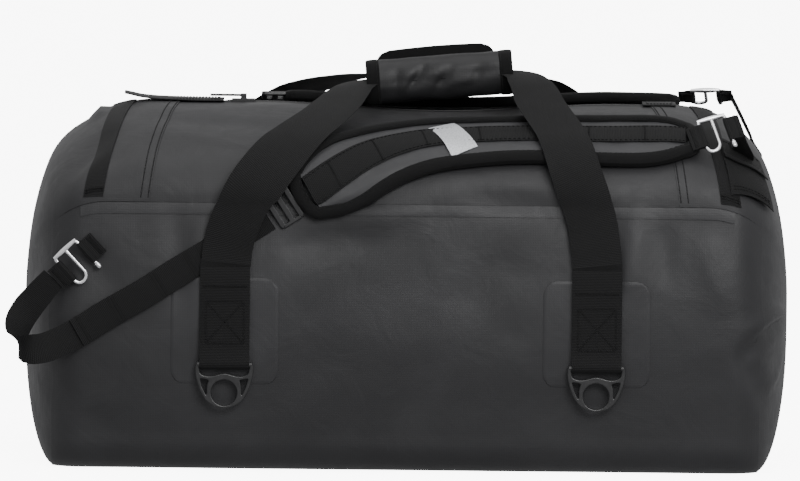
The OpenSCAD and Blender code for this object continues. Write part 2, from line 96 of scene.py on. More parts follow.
def front_half(s):
    if s < 0:
        return -(base_half + s), 0.0
    if s < s_corner:
        a = s / base_edge_radius
        return -base_half - base_edge_radius * math.sin(a), base_edge_radius * (1 - math.cos(a))
    if s < s_seam:
        up = s - s_corner
        bulge = wall_bulge * math.sin(math.pi * up / (s_seam - s_corner))
        return -half_depth - bulge, base_edge_radius + up
    if s < s_shoulder:
        a = (s - s_seam) / shoulder_radius
        return (-(half_depth - shoulder_radius) - shoulder_radius * math.cos(a),
                seam_height + shoulder_radius * math.sin(a))
    a = (s_apex - s) / top_radius
    return -top_radius * math.sin(a), top_centre + top_radius * math.cos(a)


def section(s):
    if s <= s_apex:
        return front_half(s)
    y, z = front_half(2 * s_apex - s)
    return -y, z


def end_round(x, start, power):
    d = max(0.0, min(1.0, (abs(x) - start) / (half_length - start)))
    return (1 - d ** power) ** (1 / power)


def plan_round(x):
    """Part of its full depth that the bag keeps at x."""
    return end_round(x, half_length - plan_corner, roundness)


def skin_point(x, s):
    """A point on the ideal skin: x along the bag, s over its section from the base's front edge."""
    y, z = section(s)
    rise = z - middle_height
    if rise > 0:
        rise *= end_round(x, half_length - crown_corner, roundness)
    else:
        rise *= end_round(x, half_length - base_corner, 2)
    return np.array((x, y * plan_round(x), middle_height + rise))


def unit(v):
    return v / (np.linalg.norm(v) + 1e-12)


def normal_at(x, s):
    along = skin_point(x + 1, s) - skin_point(x - 1, s)
    up = skin_point(x, s + 1) - skin_point(x, s - 1)
    return unit(np.cross(along, up))


# ---------- How the fabric hangs: dips, folds and creases off the ideal skin ----------

# Folds as (x1, s1, x2, s2, height, width), each fading out at its ends
FRONT_FOLDS = [
    (384, 182, 338, 142, -7, 8), (386, 200, 346, 162, 5, 13), (338, 142, 364, 92, -4, 9),
    (352, 118, 376, 100, 4, 12), (-376, 232, -352, 150, 3, 16), (-366, 120, -330, 88, -3, 14),
    (232, 288, 222, 205, 3.0, 12), (206, 280, 204, 200, -2.4, 10), (256, 270, 262, 215, -2.2, 12),
    (-118, 250, -30, 262, -4.5, 16), (-60, 268, 20, 290, 3.0, 14), (60, 300, 150, 292, -3.0, 12),
    (-232, 285, -224, 180, -2.2, 12), (-206, 262, -214, 170, 2.4, 12), (-330, 255, -290, 200, -2.2, 18),
    (110, 250, 60, 190, -2.2, 22), (300, 262, 318, 190, 2.6, 16), (20, 150, 120, 120, 2, 30),
    (-255, 420, -120, 400, -2.2, 16), (-240, 380, -150, 340, 2.4, 16), (-200, 460, -80, 470, 2.0, 18),
    (-318, 460, -316, 520, 5.5, 9), (-345, 330, -300, 400, -2.5, 16), (340, 330, 318, 420, -2, 14),
]
REAR_FOLDS = [
    (-360, 190, -320, 140, -5, 10), (-352, 215, -310, 170, 4, 13), (220, 285, 212, 200, 2.6, 12),
    (-212, 280, -205, 195, 2.6, 12), (60, 250, 130, 210, -2.6, 20), (-100, 240, -30, 200, -2.4, 20),
    (330, 250, 300, 180, -2.6, 16), (-20, 120, 90, 140, 2, 30), (-300, 380, -180, 360, -2.2, 18),
]
TOP_DIP = 8
DIP_CENTRE = 30
DIP_REACH = 185
# How far the lid's soft corners fall at the left (-1) and right (1) end, and where that starts and stops
CORNER_SAG = {-1: 12, 1: 8}
SAG_START = 262
SAG_PEAK = 330
SAG_STOP = 366
# Parts of an end's radius: the middle that stays free of folds, and the ring over which they die out
POLE_CLEAR = 0.3
POLE_FADE = 0.4


def fold_lift(x, s, fold):
    x1, s1, x2, s2, height, width = fold
    dx, ds = x2 - x1, s2 - s1
    length = math.hypot(dx, ds)
    along = ((x - x1) * dx + (s - s1) * ds) / length / length
    off = ((x - x1) * -ds + (s - s1) * dx) / length
    if abs(off) > 3 * width or along < -0.5 or along > 1.5:
        return 0.0
    fade = math.exp(-((2 * along - 1) ** 4) * 0.9)
    return height * fade * math.exp(-(off / width) ** 2)


def ease(k):
    k = max(0.0, min(1.0, k))
    return k * k * (3 - 2 * k)


def drape(x, s):
    """How far the fabric stands off the ideal skin, in millimetres."""
    p = skin_point(x, s)
    q = Vector((p[0] / 120, p[1] / 120, p[2] / 95))
    lift = 1.5 * noise.noise(q) + 0.8 * noise.noise(q * 2.3 + Vector((7, 3, 1)))
    lift *= 1 - 0.85 * math.exp(-((s - s_apex) / 45) ** 2)
    rear = s > s_apex
    t = 2 * s_apex - s if rear else s
    for fold in REAR_FOLDS if rear else FRONT_FOLDS:
        lift += fold_lift(x, t, fold)
    reach = abs(x - DIP_CENTRE) / DIP_REACH
    if reach < 1:
        near_top = math.exp(-((s - s_apex) / 85) ** 2)
        lift -= TOP_DIP * near_top * math.cos(reach * math.pi / 2) ** 2
    sag = ease((abs(x) - SAG_START) / (SAG_PEAK - SAG_START))
    sag *= ease((SAG_STOP - abs(x)) / (SAG_STOP - SAG_PEAK))
    lift -= CORNER_SAG[-1 if x < 0 else 1] * sag * ease((t - s_seam) / 70)
    on_base = max(0.0, min(1.0, t / s_corner))
    off_pole = ease((plan_round(x) - POLE_CLEAR) / POLE_FADE)
    return lift * on_base * off_pole


def cloth(x, s, n=0.0):
    """A point n off the fabric's own surface, in metres."""
    return (skin_point(x, s) + (n + drape(x, s)) * normal_at(x, s)) * MM


# ---------- Mesh building ----------


def steps(a, b, count):
    return [a + (b - a) * i / count for i in range(count + 1)]


def smooth_path(path, step=5.0):
    """The same path with points every few millimetres on a smooth curve."""
    pts = [np.array(p, float) for p in path]
    pts = [2 * pts[0] - pts[1]] + pts + [2 * pts[-1] - pts[-2]]
    out = []
    for i in range(1, len(pts) - 2):
        a, b, c, d = pts[i - 1:i + 3]
        size = 3 if len(b) == 3 else 2
        count = max(1, int(round(np.linalg.norm((c - b)[:size]) / step)))
        for k in range(count):
            t = k / count
            out.append(0.5 * ((2 * b) + (c - a) * t + (2 * a - 5 * b + 4 * c - d) * t * t
                              + (3 * b - a - 3 * c + d) * t ** 3))
    out.append(pts[-2])
    return out


def new_object(name, verts, faces, material, uvs=None, smooth_angle=40):
    mesh = bpy.data.meshes.new(name)
    mesh.from_pydata([tuple(v) for v in verts], [], faces)
    mesh.validate()
    if uvs is not None:
        layer = mesh.uv_layers.new(name="UVMap")
        for loop in mesh.loops:
            layer.data[loop.index].uv = uvs[loop.vertex_index]
    mesh.shade_smooth()
    mesh.set_sharp_from_angle(angle=math.radians(smooth_angle))
    mesh.materials.append(material)
    piece = bpy.data.objects.new(name, mesh)
    bpy.context.scene.collection.objects.link(piece)
    return piece


# A box's faces, for corners listed round its bottom and then round its top
BOX_FACES = ((0, 1, 2, 3), (7, 6, 5, 4), (0, 4, 5, 1), (1, 5, 6, 2), (2, 6, 7, 3), (3, 7, 4, 0))
REAR_FLIP = np.array((1, -1, 1))


def mirrored(verts, faces):
    """The same mesh on the other side of the bag's middle plane."""
    return [v * REAR_FLIP for v in verts], [tuple(reversed(f)) for f in faces]


def distances(path):
    """How far along a path each point lies, by its first two coordinates."""
    runs = [0.0]
    for a, b in zip(path, path[1:]):
        runs.append(runs[-1] + math.hypot(b[0] - a[0], b[1] - a[1]))
    return runs


def sheet_geometry(outer, inner, uv_rows):
    """Vertices, faces and UVs of a closed sheet between two grids of points."""
    rows, cols = len(outer), len(outer[0])
    back = rows * cols
    verts = [p for grid in (outer, inner) for row in grid for p in row]
    uvs = [uv for _ in (0, 1) for row in uv_rows for uv in row]
    faces = []

    for i in range(rows - 1):
        for j in range(cols - 1):
            a, b = i * cols + j, (i + 1) * cols + j
            faces.append((a, b, b + 1, a + 1))
            faces.append((back + a, back + a + 1, back + b + 1, back + b))
    for i in range(rows - 1):
        a, b = i * cols, (i + 1) * cols
        faces.append((a, back + a, back + b, b))
        a, b = a + cols - 1, b + cols - 1
        faces.append((a, b, back + b, back + a))
    for j in range(cols - 1):
        faces.append((j, j + 1, back + j + 1, back + j))
        a = (rows - 1) * cols + j
        faces.append((a, back + a, back + a + 1, a + 1))
    return verts, faces, uvs


def settle(piece, body, slot_name, *replaced):
    if isinstance(body, tuple):
        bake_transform(piece)
    else:
        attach(piece, body)
    if replaced:
        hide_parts(*replaced)
    return piece


# ---------- Materials ----------


def new_material(name, color, roughness, metallic=0.0, sheen=0.0, specular=0.5):
    mat = bpy.data.materials.new(name)
    mat.use_nodes = True
    shader = mat.node_tree.nodes["Principled BSDF"]
    shader.inputs["Base Color"].default_value = (*color, 1)
    shader.inputs["Roughness"].default_value = roughness
    shader.inputs["Metallic"].default_value = metallic
    shader.inputs["Specular IOR Level"].default_value = specular
    if sheen:
        shader.inputs["Sheen Weight"].default_value = sheen
        shader.inputs["Sheen Roughness"].default_value = 0.4
    return mat, mat.node_tree, shader


def coordinates(tree, kind="Object"):
    return tree.nodes.new("ShaderNodeTexCoord").outputs[kind]


def noise_node(tree, vector, scale, detail=3.0, distortion=0.0):
    node = tree.nodes.new("ShaderNodeTexNoise")
    node.inputs["Scale"].default_value = scale
    node.inputs["Detail"].default_value = detail
    node.inputs["Distortion"].default_value = distortion
    tree.links.new(vector, node.inputs["Vector"])
    return node.outputs["Fac"]


def wave_node(tree, vector, scale, direction, distortion=0.0):
    node = tree.nodes.new("ShaderNodeTexWave")
    node.bands_direction = direction
    node.inputs["Scale"].default_value = scale
    node.inputs["Distortion"].default_value = distortion
    node.inputs["Detail"].default_value = 1.0
    tree.links.new(vector, node.inputs["Vector"])
    return node.outputs["Fac"]


def ramp_node(tree, factor, stops):
    node = tree.nodes.new("ShaderNodeValToRGB")
    node.color_ramp.elements[0].position = stops[0][0]
    node.color_ramp.elements[0].color = (*stops[0][1], 1)
    node.color_ramp.elements[1].position = stops[-1][0]
    node.color_ramp.elements[1].color = (*stops[-1][1], 1)
    for position, color in stops[1:-1]:
        node.color_ramp.elements.new(position).color = (*color, 1)
    tree.links.new(factor, node.inputs["Fac"])
    return node.outputs["Color"]


def range_node(tree, factor, low, high):
    node = tree.nodes.new("ShaderNodeMapRange")
    node.inputs["To Min"].default_value = low
    node.inputs["To Max"].default_value = high
    tree.links.new(factor, node.inputs["Value"])
    return node.outputs["Result"]


def math_node(tree, operation, a, b):
    node = tree.nodes.new("ShaderNodeMath")
    node.operation = operation
    for value, socket in ((a, node.inputs[0]), (b, node.inputs[1])):
        if isinstance(value, (int, float)):
            socket.default_value = value
        else:
            tree.links.new(value, socket)
    return node.outputs[0]


def bump_node(tree, height, distance, strength=1.0, previous=None):
    node = tree.nodes.new("ShaderNodeBump")
    node.inputs["Distance"].default_value = distance
    node.inputs["Strength"].default_value = strength
    tree.links.new(height, node.inputs["Height"])
    if previous is not None:
        tree.links.new(previous, node.inputs["Normal"])
    return node.outputs["Normal"]


def grey(value, blue=1.06):
    return (value, value, value * blue)


def tarpaulin_material(name, tone, roughness):
    """Coated fabric: fine leathery grain, faint woven base showing through, cloudy tone and scuffs."""
    mat, tree, shader = new_material(name, grey(tone), roughness, specular=0.27)
    where = coordinates(tree)
    clouds = noise_node(tree, where, 9, 4, 0.6)
    tree.links.new(ramp_node(tree, clouds, [(0.3, grey(tone * 0.82)), (0.5, grey(tone)),
                                            (0.72, grey(tone * 1.2))]), shader.inputs["Base Color"])
    scuffs = noise_node(tree, where, 55, 5, 1.2)
    tree.links.new(range_node(tree, scuffs, roughness - 0.09, roughness + 0.1), shader.inputs["Roughness"])
    grain = noise_node(tree, where, 1500, 2)
    first = bump_node(tree, grain, 0.00018, 0.5)
    weave = math_node(tree, "MULTIPLY", wave_node(tree, where, 130, "X"), wave_node(tree, where, 130, "Z"))
    second = bump_node(tree, weave, 0.00012, 0.35, first)
    ripples = noise_node(tree, where, 22, 3, 0.8)
    tree.links.new(bump_node(tree, ripples, 0.0035, 0.35, second), shader.inputs["Normal"])
    return mat


def webbing_material(name, tone, pitch=0.0016, roughness=0.72):
    """Woven nylon webbing. U runs along the strap in metres, V across it."""
    mat, tree, shader = new_material(name, grey(tone, 1.03), roughness, sheen=0.03, specular=0.16)
    where = coordinates(tree, "UV")
    split = tree.nodes.new("ShaderNodeSeparateXYZ")
    tree.links.new(where, split.inputs[0])
    along, across = split.outputs[0], split.outputs[1]
    turn = 2 * math.pi / pitch
    ribs = math_node(tree, "SINE", math_node(tree, "MULTIPLY", along, turn), 0)
    slant = math_node(tree, "ADD", math_node(tree, "MULTIPLY", along, turn * 0.5),
                      math_node(tree, "MULTIPLY", across, turn * 0.9))
    twill = math_node(tree, "SINE", slant, 0)
    yarn = math_node(tree, "ADD", ribs, math_node(tree, "MULTIPLY", twill, 0.6))
    level = range_node(tree, yarn, 0, 1)
    level.node.inputs["From Min"].default_value = -1.6
    level.node.inputs["From Max"].default_value = 1.6
    wear = noise_node(tree, coordinates(tree), 40, 4, 0.5)
    mixed = math_node(tree, "MULTIPLY", level, range_node(tree, wear, 0.6, 1.4))
    tree.links.new(ramp_node(tree, mixed, [(0.1, grey(tone * 0.5)), (0.55, grey(tone, 1.03)),
                                           (1.0, grey(tone * 2.0, 1.03))]), shader.inputs["Base Color"])
    tree.links.new(range_node(tree, wear, roughness - 0.1, roughness + 0.12), shader.inputs["Roughness"])
    tree.links.new(bump_node(tree, level, 0.00035, 0.9), shader.inputs["Normal"])
    return mat


def plastic_material(name, tone, roughness):
    """Moulded nylon with a fine spark-eroded texture and lighter rubbed spots."""
    mat, tree, shader = new_material(name, grey(tone, 1.02), roughness)
    where = coordinates(tree)
    rubbed = noise_node(tree, where, 160, 4, 0.4)
    tree.links.new(ramp_node(tree, rubbed, [(0.35, grey(tone * 0.85)), (0.8, grey(tone * 1.35))]),
                   shader.inputs["Base Color"])
    tree.links.new(range_node(tree, rubbed, roughness - 0.06, roughness + 0.12), shader.inputs["Roughness"])
    tree.links.new(bump_node(tree, noise_node(tree, where, 2600, 2), 0.0001, 0.5), shader.inputs["Normal"])
    return mat


def metal_material(name):
    """Bright die-cast metal with a soft polish and hairline marks."""
    mat, tree, shader = new_material(name, (0.86, 0.86, 0.88), 0.24, metallic=1.0)
    where = coordinates(tree)
    marks = noise_node(tree, where, 420, 4, 2.0)
    tree.links.new(range_node(tree, marks, 0.16, 0.34), shader.inputs["Roughness"])
    cast = noise_node(tree, where, 90, 3)
    tree.links.new(ramp_node(tree, cast, [(0.3, (0.74, 0.74, 0.76)), (0.7, (0.92, 0.92, 0.93))]),
                   shader.inputs["Base Color"])
    tree.links.new(bump_node(tree, marks, 0.0001, 0.25), shader.inputs["Normal"])
    return mat


def reflective_material(name):
    """Silver glass-bead tape: fine beads in a faint diagonal net."""
    mat, tree, shader = new_material(name, (0.55, 0.56, 0.58), 0.42, metallic=0.35, specular=0.6)
    where = coordinates(tree)
    beads = tree.nodes.new("ShaderNodeTexVoronoi")
    beads.inputs["Scale"].default_value = 900
    tree.links.new(where, beads.inputs["Vector"])
    silver = [(0.0, (0.66, 0.67, 0.69)), (0.7, (0.42, 0.43, 0.45))]
    tree.links.new(ramp_node(tree, beads.outputs["Distance"], silver), shader.inputs["Base Color"])
    tree.links.new(bump_node(tree, beads.outputs["Distance"], 0.0001, 0.5), shader.inputs["Normal"])
    return mat


def thread_material(name, tone):
    mat, tree, shader = new_material(name, grey(tone), 0.6, specular=0.2)
    fibre = noise_node(tree, coordinates(tree), 1800, 2)
    tree.links.new(ramp_node(tree, fibre, [(0.3, grey(tone * 0.6)), (0.7, grey(tone * 1.6))]),
                   shader.inputs["Base Color"])
    tree.links.new(bump_node(tree, fibre, 0.0001, 0.6), shader.inputs["Normal"])
    return mat


TARPAULIN = tarpaulin_material("coated_tarpaulin", 0.021, 0.5)
TAPE = tarpaulin_material("weld_tape", 0.0235, 0.46)
PAD_FACE = tarpaulin_material("pad_face_fabric", 0.03, 0.5)
GRIP_FACE = tarpaulin_material("grip_wrap_fabric", 0.011, 0.46)
WEBBING = webbing_material("black_webbing", 0.0058)
BINDING = webbing_material("binding_tape", 0.0042, pitch=0.0011, roughness=0.85)
ZIP_TAPE = tarpaulin_material("zipper_tape_rubber", 0.008, 0.55)
PLASTIC = plastic_material("moulded_nylon", 0.011, 0.34)
METAL = metal_material("bright_hook_metal")
REFLECTIVE = reflective_material("reflective_tape")
THREAD = thread_material("dark_thread", 0.0025)
SEAM_THREAD = thread_material("seam_thread", 0.006)

# ---------- The bag's body ----------

CLOTH_THICKNESS = 1.0
GRID_STEP = 6.2
# How much closer the columns of a panel lie at its ends, where the bag curves most
END_CROWDING = 0.42
# The lid's end panels lie over its middle ones by the lap at the stitched seams
SEAM_LAP = 11
LID_LIFT = 0.5
LAP_LIFT = 1.4


def spaced(a, b, step=GRID_STEP):
    return steps(a, b, max(1, int(round((b - a) / step))))


def cut_line(cut, s):
    low, top = cut
    return low + (top - low) * max(0.0, 1 - abs(s - s_apex) / (s_apex - s_seam))


def panel(name, left, right, ss, node, lift=0.0):
    """A body panel between two lines that run across the bag."""
    count = int(round((right(ss[0]) - left(ss[0])) / GRID_STEP))
    outer, inner, uvs = [], [], []
    for i in range(count + 1):
        u = i / count
        u -= END_CROWDING * math.sin(2 * math.pi * u) / (2 * math.pi)
        row = [((1 - u) * left(s) + u * right(s), s) for s in ss]
        rise = [lift * ease((end_seam - abs(x)) / 34) for x, s in row]
        outer.append([cloth(x, s, n) for (x, s), n in zip(row, rise)])
        inner.append([cloth(x, s, n - CLOTH_THICKNESS) for (x, s), n in zip(row, rise)])
        uvs.append([(x * MM, s * MM) for x, s in row])
    verts, faces, uv = sheet_geometry(outer, inner, uvs)
    return settle(new_object(name, verts, faces, TARPAULIN, uv), "root", "tarpaulin", node)


def end_panel(name, side, node):
    """An end, from its seam to a pole in its middle."""
    rings = [end_seam + (half_length - end_seam) * math.sin(a) for a in steps(0, math.pi / 2, 15)][:-1]
    half = [s - 0.01 for s in steps(-base_half, 0, 14)] + spaced(0, s_seam)[1:] + spaced(s_seam, s_apex)[1:]
    around = half + [2 * s_apex - s for s in reversed(half[1:-1])]
    cols, rows = len(around), len(rings)
    verts = []
    for depth in (0, -CLOTH_THICKNESS):
        verts += [cloth(side * x, s, depth) for x in rings for s in around]
        verts.append(sum(verts[-cols:]) / cols)
    back = rows * cols + 1
    faces = []
    for i in range(rows):
        for j in range(cols):
            k = (j + 1) % cols
            a, b = i * cols + j, i * cols + k
            if i < rows - 1:
                c, d = a + cols, b + cols
                faces.append((a, c, d, b) if side > 0 else (a, b, d, c))
                faces.append((back + a, back + b, back + d, back + c) if side > 0
                             else (back + a, back + c, back + d, back + b))
            else:
                faces.append((a, back - 1, b) if side > 0 else (a, b, back - 1))
                faces.append((back + a, back + b, 2 * back - 1) if side > 0
                             else (back + a, 2 * back - 1, back + b))
            if i == 0:
                faces.append((a, b, back + b, back + a) if side > 0 else (a, back + a, back + b, b))
    uv = [(v[1], v[2]) for v in verts]
    return settle(new_object(name, verts, faces, TARPAULIN, uv), "root", "tarpaulin", node)


def base_panel():
    """The flat base, slightly overlapped by the walls at its rim."""
    ys = steps(-base_half, base_half, 24)
    xs = steps(-end_seam, end_seam, 60)
    outer, inner, uvs = [], [], []
    for x in xs:
        row = [y * plan_round(x) for y in reversed(ys)]
        outer.append([np.array((x, y, 0.0)) * MM for y in row])
        inner.append([np.array((x, y, 1.2)) * MM for y in row])
        uvs.append([(x * MM, y * MM) for y in row])
    verts, faces, uv = sheet_geometry(outer, inner, uvs)
    return settle(new_object("base", verts, faces, TARPAULIN, uv), "root", "tarpaulin", "base_panel")


def build_body():
    def left_end(s):
        return -end_seam

    def right_end(s):
        return end_seam

    def left_seam(s):
        return cut_line(left_cut, s)

    def right_seam(s):
        return cut_line(right_cut, s)

    def behind(ss):
        return [2 * s_apex - s for s in reversed(ss)]

    wall = spaced(0, s_seam)
    lid = spaced(s_seam, s_apex - zip_half_width)
    whole_lid = spaced(s_seam, 2 * s_apex - s_seam)
    panel("front_wall", left_end, right_end, wall, "front_panel")
    panel("rear_wall", left_end, right_end, behind(wall), "rear_panel")
    panel("lid_front", left_seam, right_seam, lid, "lid_front_panel", LID_LIFT)
    panel("lid_rear", left_seam, right_seam, behind(lid), "lid_rear_panel", LID_LIFT)
    panel("lid_left", left_end, lambda s: left_seam(s) + SEAM_LAP, whole_lid, "lid_left_panel", LAP_LIFT)
    panel("lid_right", lambda s: right_seam(s) - SEAM_LAP, right_end, whole_lid, "lid_right_panel", LAP_LIFT)
    end_panel("left_end", -1, "left_end_panel")
    end_panel("right_end", 1, "right_end_panel")
    base_panel()


# ---------- Strips and straps ----------

WEB = 1.6
STRAP = 30
HANDLE = 50


def across_path(path, i):
    a, b = path[max(0, i - 1)], path[min(len(path) - 1, i + 1)]
    d = np.array((b[0] - a[0], b[1] - a[1]))
    d = d / (np.linalg.norm(d) + 1e-9)
    return -d[1], d[0]


def rear_cloth(x, s, n=0.0):
    """As cloth, for rear pieces that are built in front and then mirrored."""
    return cloth(x, 2 * s_apex - s, n) * REAR_FLIP


def skin_of(rear):
    return rear_cloth if rear else cloth


def laid_rows(path, thick, cols, point=cloth, start_run=0.0):
    """Rows of (upper point, lower point, uv) for a strip. Its edges are thinner, so they look rolled."""
    rows = []
    for i, (p, run) in enumerate(zip(path, distances(path))):
        vx, vs = across_path(path, i)
        row = []
        for j in range(cols + 1):
            k = 2 * j / cols - 1
            w = k * p[3] / 2
            edge = 0.34 if j in (0, cols) else 0.0
            x, s = p[0] + vx * w, p[1] + vs * w
            row.append((point(x, s, p[2] + thick * (1 - edge)), point(x, s, p[2] + thick * edge),
                        ((start_run + run) * MM, w * MM)))
        rows.append(row)
    return rows


def flipped(rows):
    """Rows mirrored front to back, with their order across turned so that faces still point outwards."""
    return [[(a * REAR_FLIP, b * REAR_FLIP, uv) for a, b, uv in reversed(row)] for row in rows]


def rows_object(name, rows, material, rear=False):
    if rear:
        rows = flipped(rows)
    outer = [[c[0] for c in row] for row in rows]
    inner = [[c[1] for c in row] for row in rows]
    uvs = [[c[2] for c in row] for row in rows]
    verts, faces, uv = sheet_geometry(outer, inner, uvs)
    return new_object(name, verts, faces, material, uv)


def laid_strip(name, path, thick, material, cols=6, rear=False, step=5.0, point=cloth):
    return rows_object(name, laid_rows(smooth_path(path, step), thick, cols, point), material, rear)


def ribbon_row(middle, side, out, width, thick, cols, run, edge=0.4):
    """One row across a flat ribbon, from its middle, the way across it and the way out of it."""
    row = []
    for j in range(cols + 1):
        w = (2 * j / cols - 1) * width / 2
        half = thick / 2 * (edge if j in (0, cols) else 1.0)
        p = middle + side * w
        row.append(((p + out * half) * MM, (p - out * half) * MM, (run * MM, w * MM)))
    return row


def route_rows(route, lean, width, thick, cols, taper=None):
    """Rows of a flat ribbon through points in space (mm). Its width lies along lean, which may turn."""
    rows = []
    run = 0.0
    for i, p in enumerate(route):
        if i:
            run += np.linalg.norm(p - route[i - 1])
        t = i / (len(route) - 1)
        d = unit(route[min(len(route) - 1, i + 1)] - route[max(0, i - 1)])
        across = lean(t) if callable(lean) else lean
        side = unit(across - across.dot(d) * d)
        w = width * taper(t) if taper else width
        rows.append(ribbon_row(p, side, np.cross(d, side), w, thick, cols, run, 0.35))
    return rows


def stitches(name, lines, material, body, slot_name="webbing", point=cloth, pitch=4.2, length=3.0,
             width=0.75, height=0.4, rear=False):
    """Small raised stitches along lines of (x, s, n)."""
    verts, faces = [], []
    for line in lines:
        line = [np.array(p, float) for p in line]
        for a, b in zip(line, line[1:]):
            span = np.linalg.norm((b - a)[:2])
            count = max(1, int(span / pitch))
            for i in range(count):
                lo = a + (b - a) * ((i + 0.5) / count - length / span / 2)
                hi = a + (b - a) * ((i + 0.5) / count + length / span / 2)
                p, q = point(*lo), point(*hi)
                up = unit(point(lo[0], lo[1], lo[2] + 1) - p)
                side = unit(np.cross(q - p, up)) * width / 2 * MM
                rise = up * height * MM
                base = len(verts)
                dip = up * 0.3 * MM
                verts += [p - side - dip, p + side - dip, q + side - dip, q - side - dip,
                          p * 0.8 + q * 0.2 - side * 0.6 + rise, p * 0.8 + q * 0.2 + side * 0.6 + rise,
                          p * 0.2 + q * 0.8 + side * 0.6 + rise, p * 0.2 + q * 0.8 - side * 0.6 + rise]
                faces += [tuple(base + k for k in f) for f in BOX_FACES]
    if rear:
        verts, faces = mirrored(verts, faces)
    return settle(new_object(name, verts, faces, material), body, slot_name)


def build_body_strips():
    reach = end_seam - 28
    tape_line = s_seam - 6.5
    for rear, name in ((False, "front"), (True, "rear")):
        point = skin_of(rear)
        tape = laid_strip(f"{name}_weld_tape", [(x, tape_line, 0.25, 11) for x in spaced(-reach, reach, 40)],
                          0.7, TAPE, 4, rear, 8, point)
        settle(tape, "root", "tarpaulin", f"{name}_seam_tape")
        for x, which in ((left_anchor_x, "left"), (right_anchor_x, "right")):
            build_patch(f"{name}_{which}_patch", x, rear, point)
        cover = laid_strip(f"{name}_tape_joint", [(x, tape_line, 0.75, 11.6) for x in spaced(270, 327, 8)],
                           0.7, TAPE, 4, rear, 8, point)
        settle(cover, "root", "tarpaulin")
    for name, cut in END_STRIPS.items():
        build_end_strip(name, cut)
    lines = []
    for cut, side in ((left_cut, 1), (right_cut, -1)):
        for off in (1.8, 9.2):
            ss = spaced(s_seam + 4, 2 * s_apex - s_seam - 4, 12)
            lines.append([(cut_line(cut, s) + side * off, s, 1.75) for s in ss
                          if abs(s - s_apex) > zip_half_width])
    stitches("lid_seam_stitches", lines, SEAM_THREAD, "root", "tarpaulin", pitch=4.0, length=3.7, width=1.1)


# Where the webbing strips over the lid's ends run, as x at the seam and at the top
END_STRIPS = {"left": (-316, -287), "right": (325, 296)}


def build_end_strip(name, cut):
    """Webbing over the lid, with a bartack near each end."""
    rear_seam = 2 * s_apex - s_seam
    path = [(cut_line(cut, s), s, 1.6, 20) for s in steps(s_seam + 6, rear_seam - 6, 26)]
    strip = laid_strip(f"{name}_end_strip_webbing", path, 1.3, WEBBING, 4)
    settle(strip, "root", "webbing", f"{name}_end_strip")
    rows = []
    for s in (s_seam + 11, s_seam + 13.5, rear_seam - 11, rear_seam - 13.5):
        x = cut_line(cut, s)
        rows.append([(x - 9, s, 2.9), (x + 9, s, 2.9)])
    stitches(f"{name}_end_strip_bartacks", rows, THREAD, "root", pitch=1.5, length=1.4, width=2.2,
             height=0.6)


def build_patch(node, x, rear, point):
    """Welded square patch with rounded corners."""
    half, corner = 54, 14
    low, high = 110, 217
    rows = []
    for s in [low, low + 1.5] + steps(low + 4, high - 4, 20) + [high - 1.5, high]:
        end = min(s - low, high - s)
        width = half - corner + math.sqrt(max(0.0, corner ** 2 - max(0.0, corner - end) ** 2))
        row = []
        for k in reversed([-1, -0.985] + steps(-0.93, 0.93, 14) + [0.985, 1]):
            rim = 0.55 if abs(k) > 0.999 or end < 0.01 else 0
            px = x + k * width
            row.append((point(px, s, 0.75 - rim), point(px, s, -0.3), (s * MM, px * MM)))
        rows.append(row)
    return settle(rows_object(node + "_weld", rows, TAPE, rear), "root", "tarpaulin", node)


# ---------- Carry handles ----------

FRONT_HANDLE = [
    (-181, 232, 5.7, 50), (-179, 250, 7, 50), (-172, 273, 11, 50), (-160, 297, 15, 50), (-141, 320, 17, 50),
    (-115, 350, 17, 50), (-90, 383, 17.5, 50), (-72, 416, 19, 48), (-62, 440, 21.5, 44), (-50, 463, 24, 36),
    (-28, 475, 26, 27), (31, 475, 31, 24), (90, 476, 36, 27), (112, 466, 36, 36), (122, 448, 33, 44),
    (128, 432, 28.5, 48), (132, 416, 24.5, 50), (140, 396, 20.5, 50), (150, 372, 17.5, 50),
    (158, 350, 16, 50), (165, 330, 14.5, 50), (171, 315, 11, 50), (178, 298, 8, 50), (185, 275, 6.5, 50),
    (189, 250, 6, 50), (191, 232, 5.7, 50)]
REAR_HANDLE = [
    (-182, 232, 5.7, 50), (-181, 255, 6, 50), (-178, 280, 7, 50), (-171, 305, 10, 50), (-160, 330, 14, 50),
    (-146, 357, 16.5, 50), (-130, 385, 18, 50), (-110, 414, 21, 50), (-84, 443, 24, 50), (-55, 465, 27, 50),
    (-20, 480, 28, 50), (31, 484, 28, 50), (75, 480, 28, 50), (105, 466, 27, 50), (128, 444, 25, 50),
    (146, 416, 21, 50), (160, 386, 18, 50), (170, 357, 16.5, 50), (178, 330, 14, 50), (185, 305, 10, 50),
    (189, 280, 7, 50), (191, 255, 6, 50), (191, 232, 5.7, 50)]

# Middle of the webbing where it comes down, goes round the ring's bar and back up behind: (y, z)
BAR_TURN = [(-190.0, 203), (-190.0, 175), (-190.0, 150), (-190.0, 128), (-188.6, 118), (-187.6, 112.5),
            (-187.6, 109), (-189.2, 106.6), (-191.4, 105.9), (-193.6, 106.6), (-195.2, 109),
            (-195.2, 112.5), (-194.2, 118), (-192.9, 128), (-192.5, 150), (-192.3, 175), (-191.9, 197),
            (-191.2, 208)]
# Webbing between the sewn end's rows and the first row above them
BAR_GAP = 24


def bar_rows(x0, cols, side):
    """Rows from the hidden end behind, round the bar and up the front. Side is -1 at a handle's left end."""
    path = smooth_path([(y, z, 0.0) for y, z in BAR_TURN], 3.0)
    across = np.array((side, 0, 0))
    rows = []
    for i, (p, run) in enumerate(zip(path, distances(path))):
        out = np.array((0, *across_path(path, i)))
        rows.append(ribbon_row(np.array((x0, p[0], p[1])), across, out, HANDLE, WEB, cols, run))
    return rows


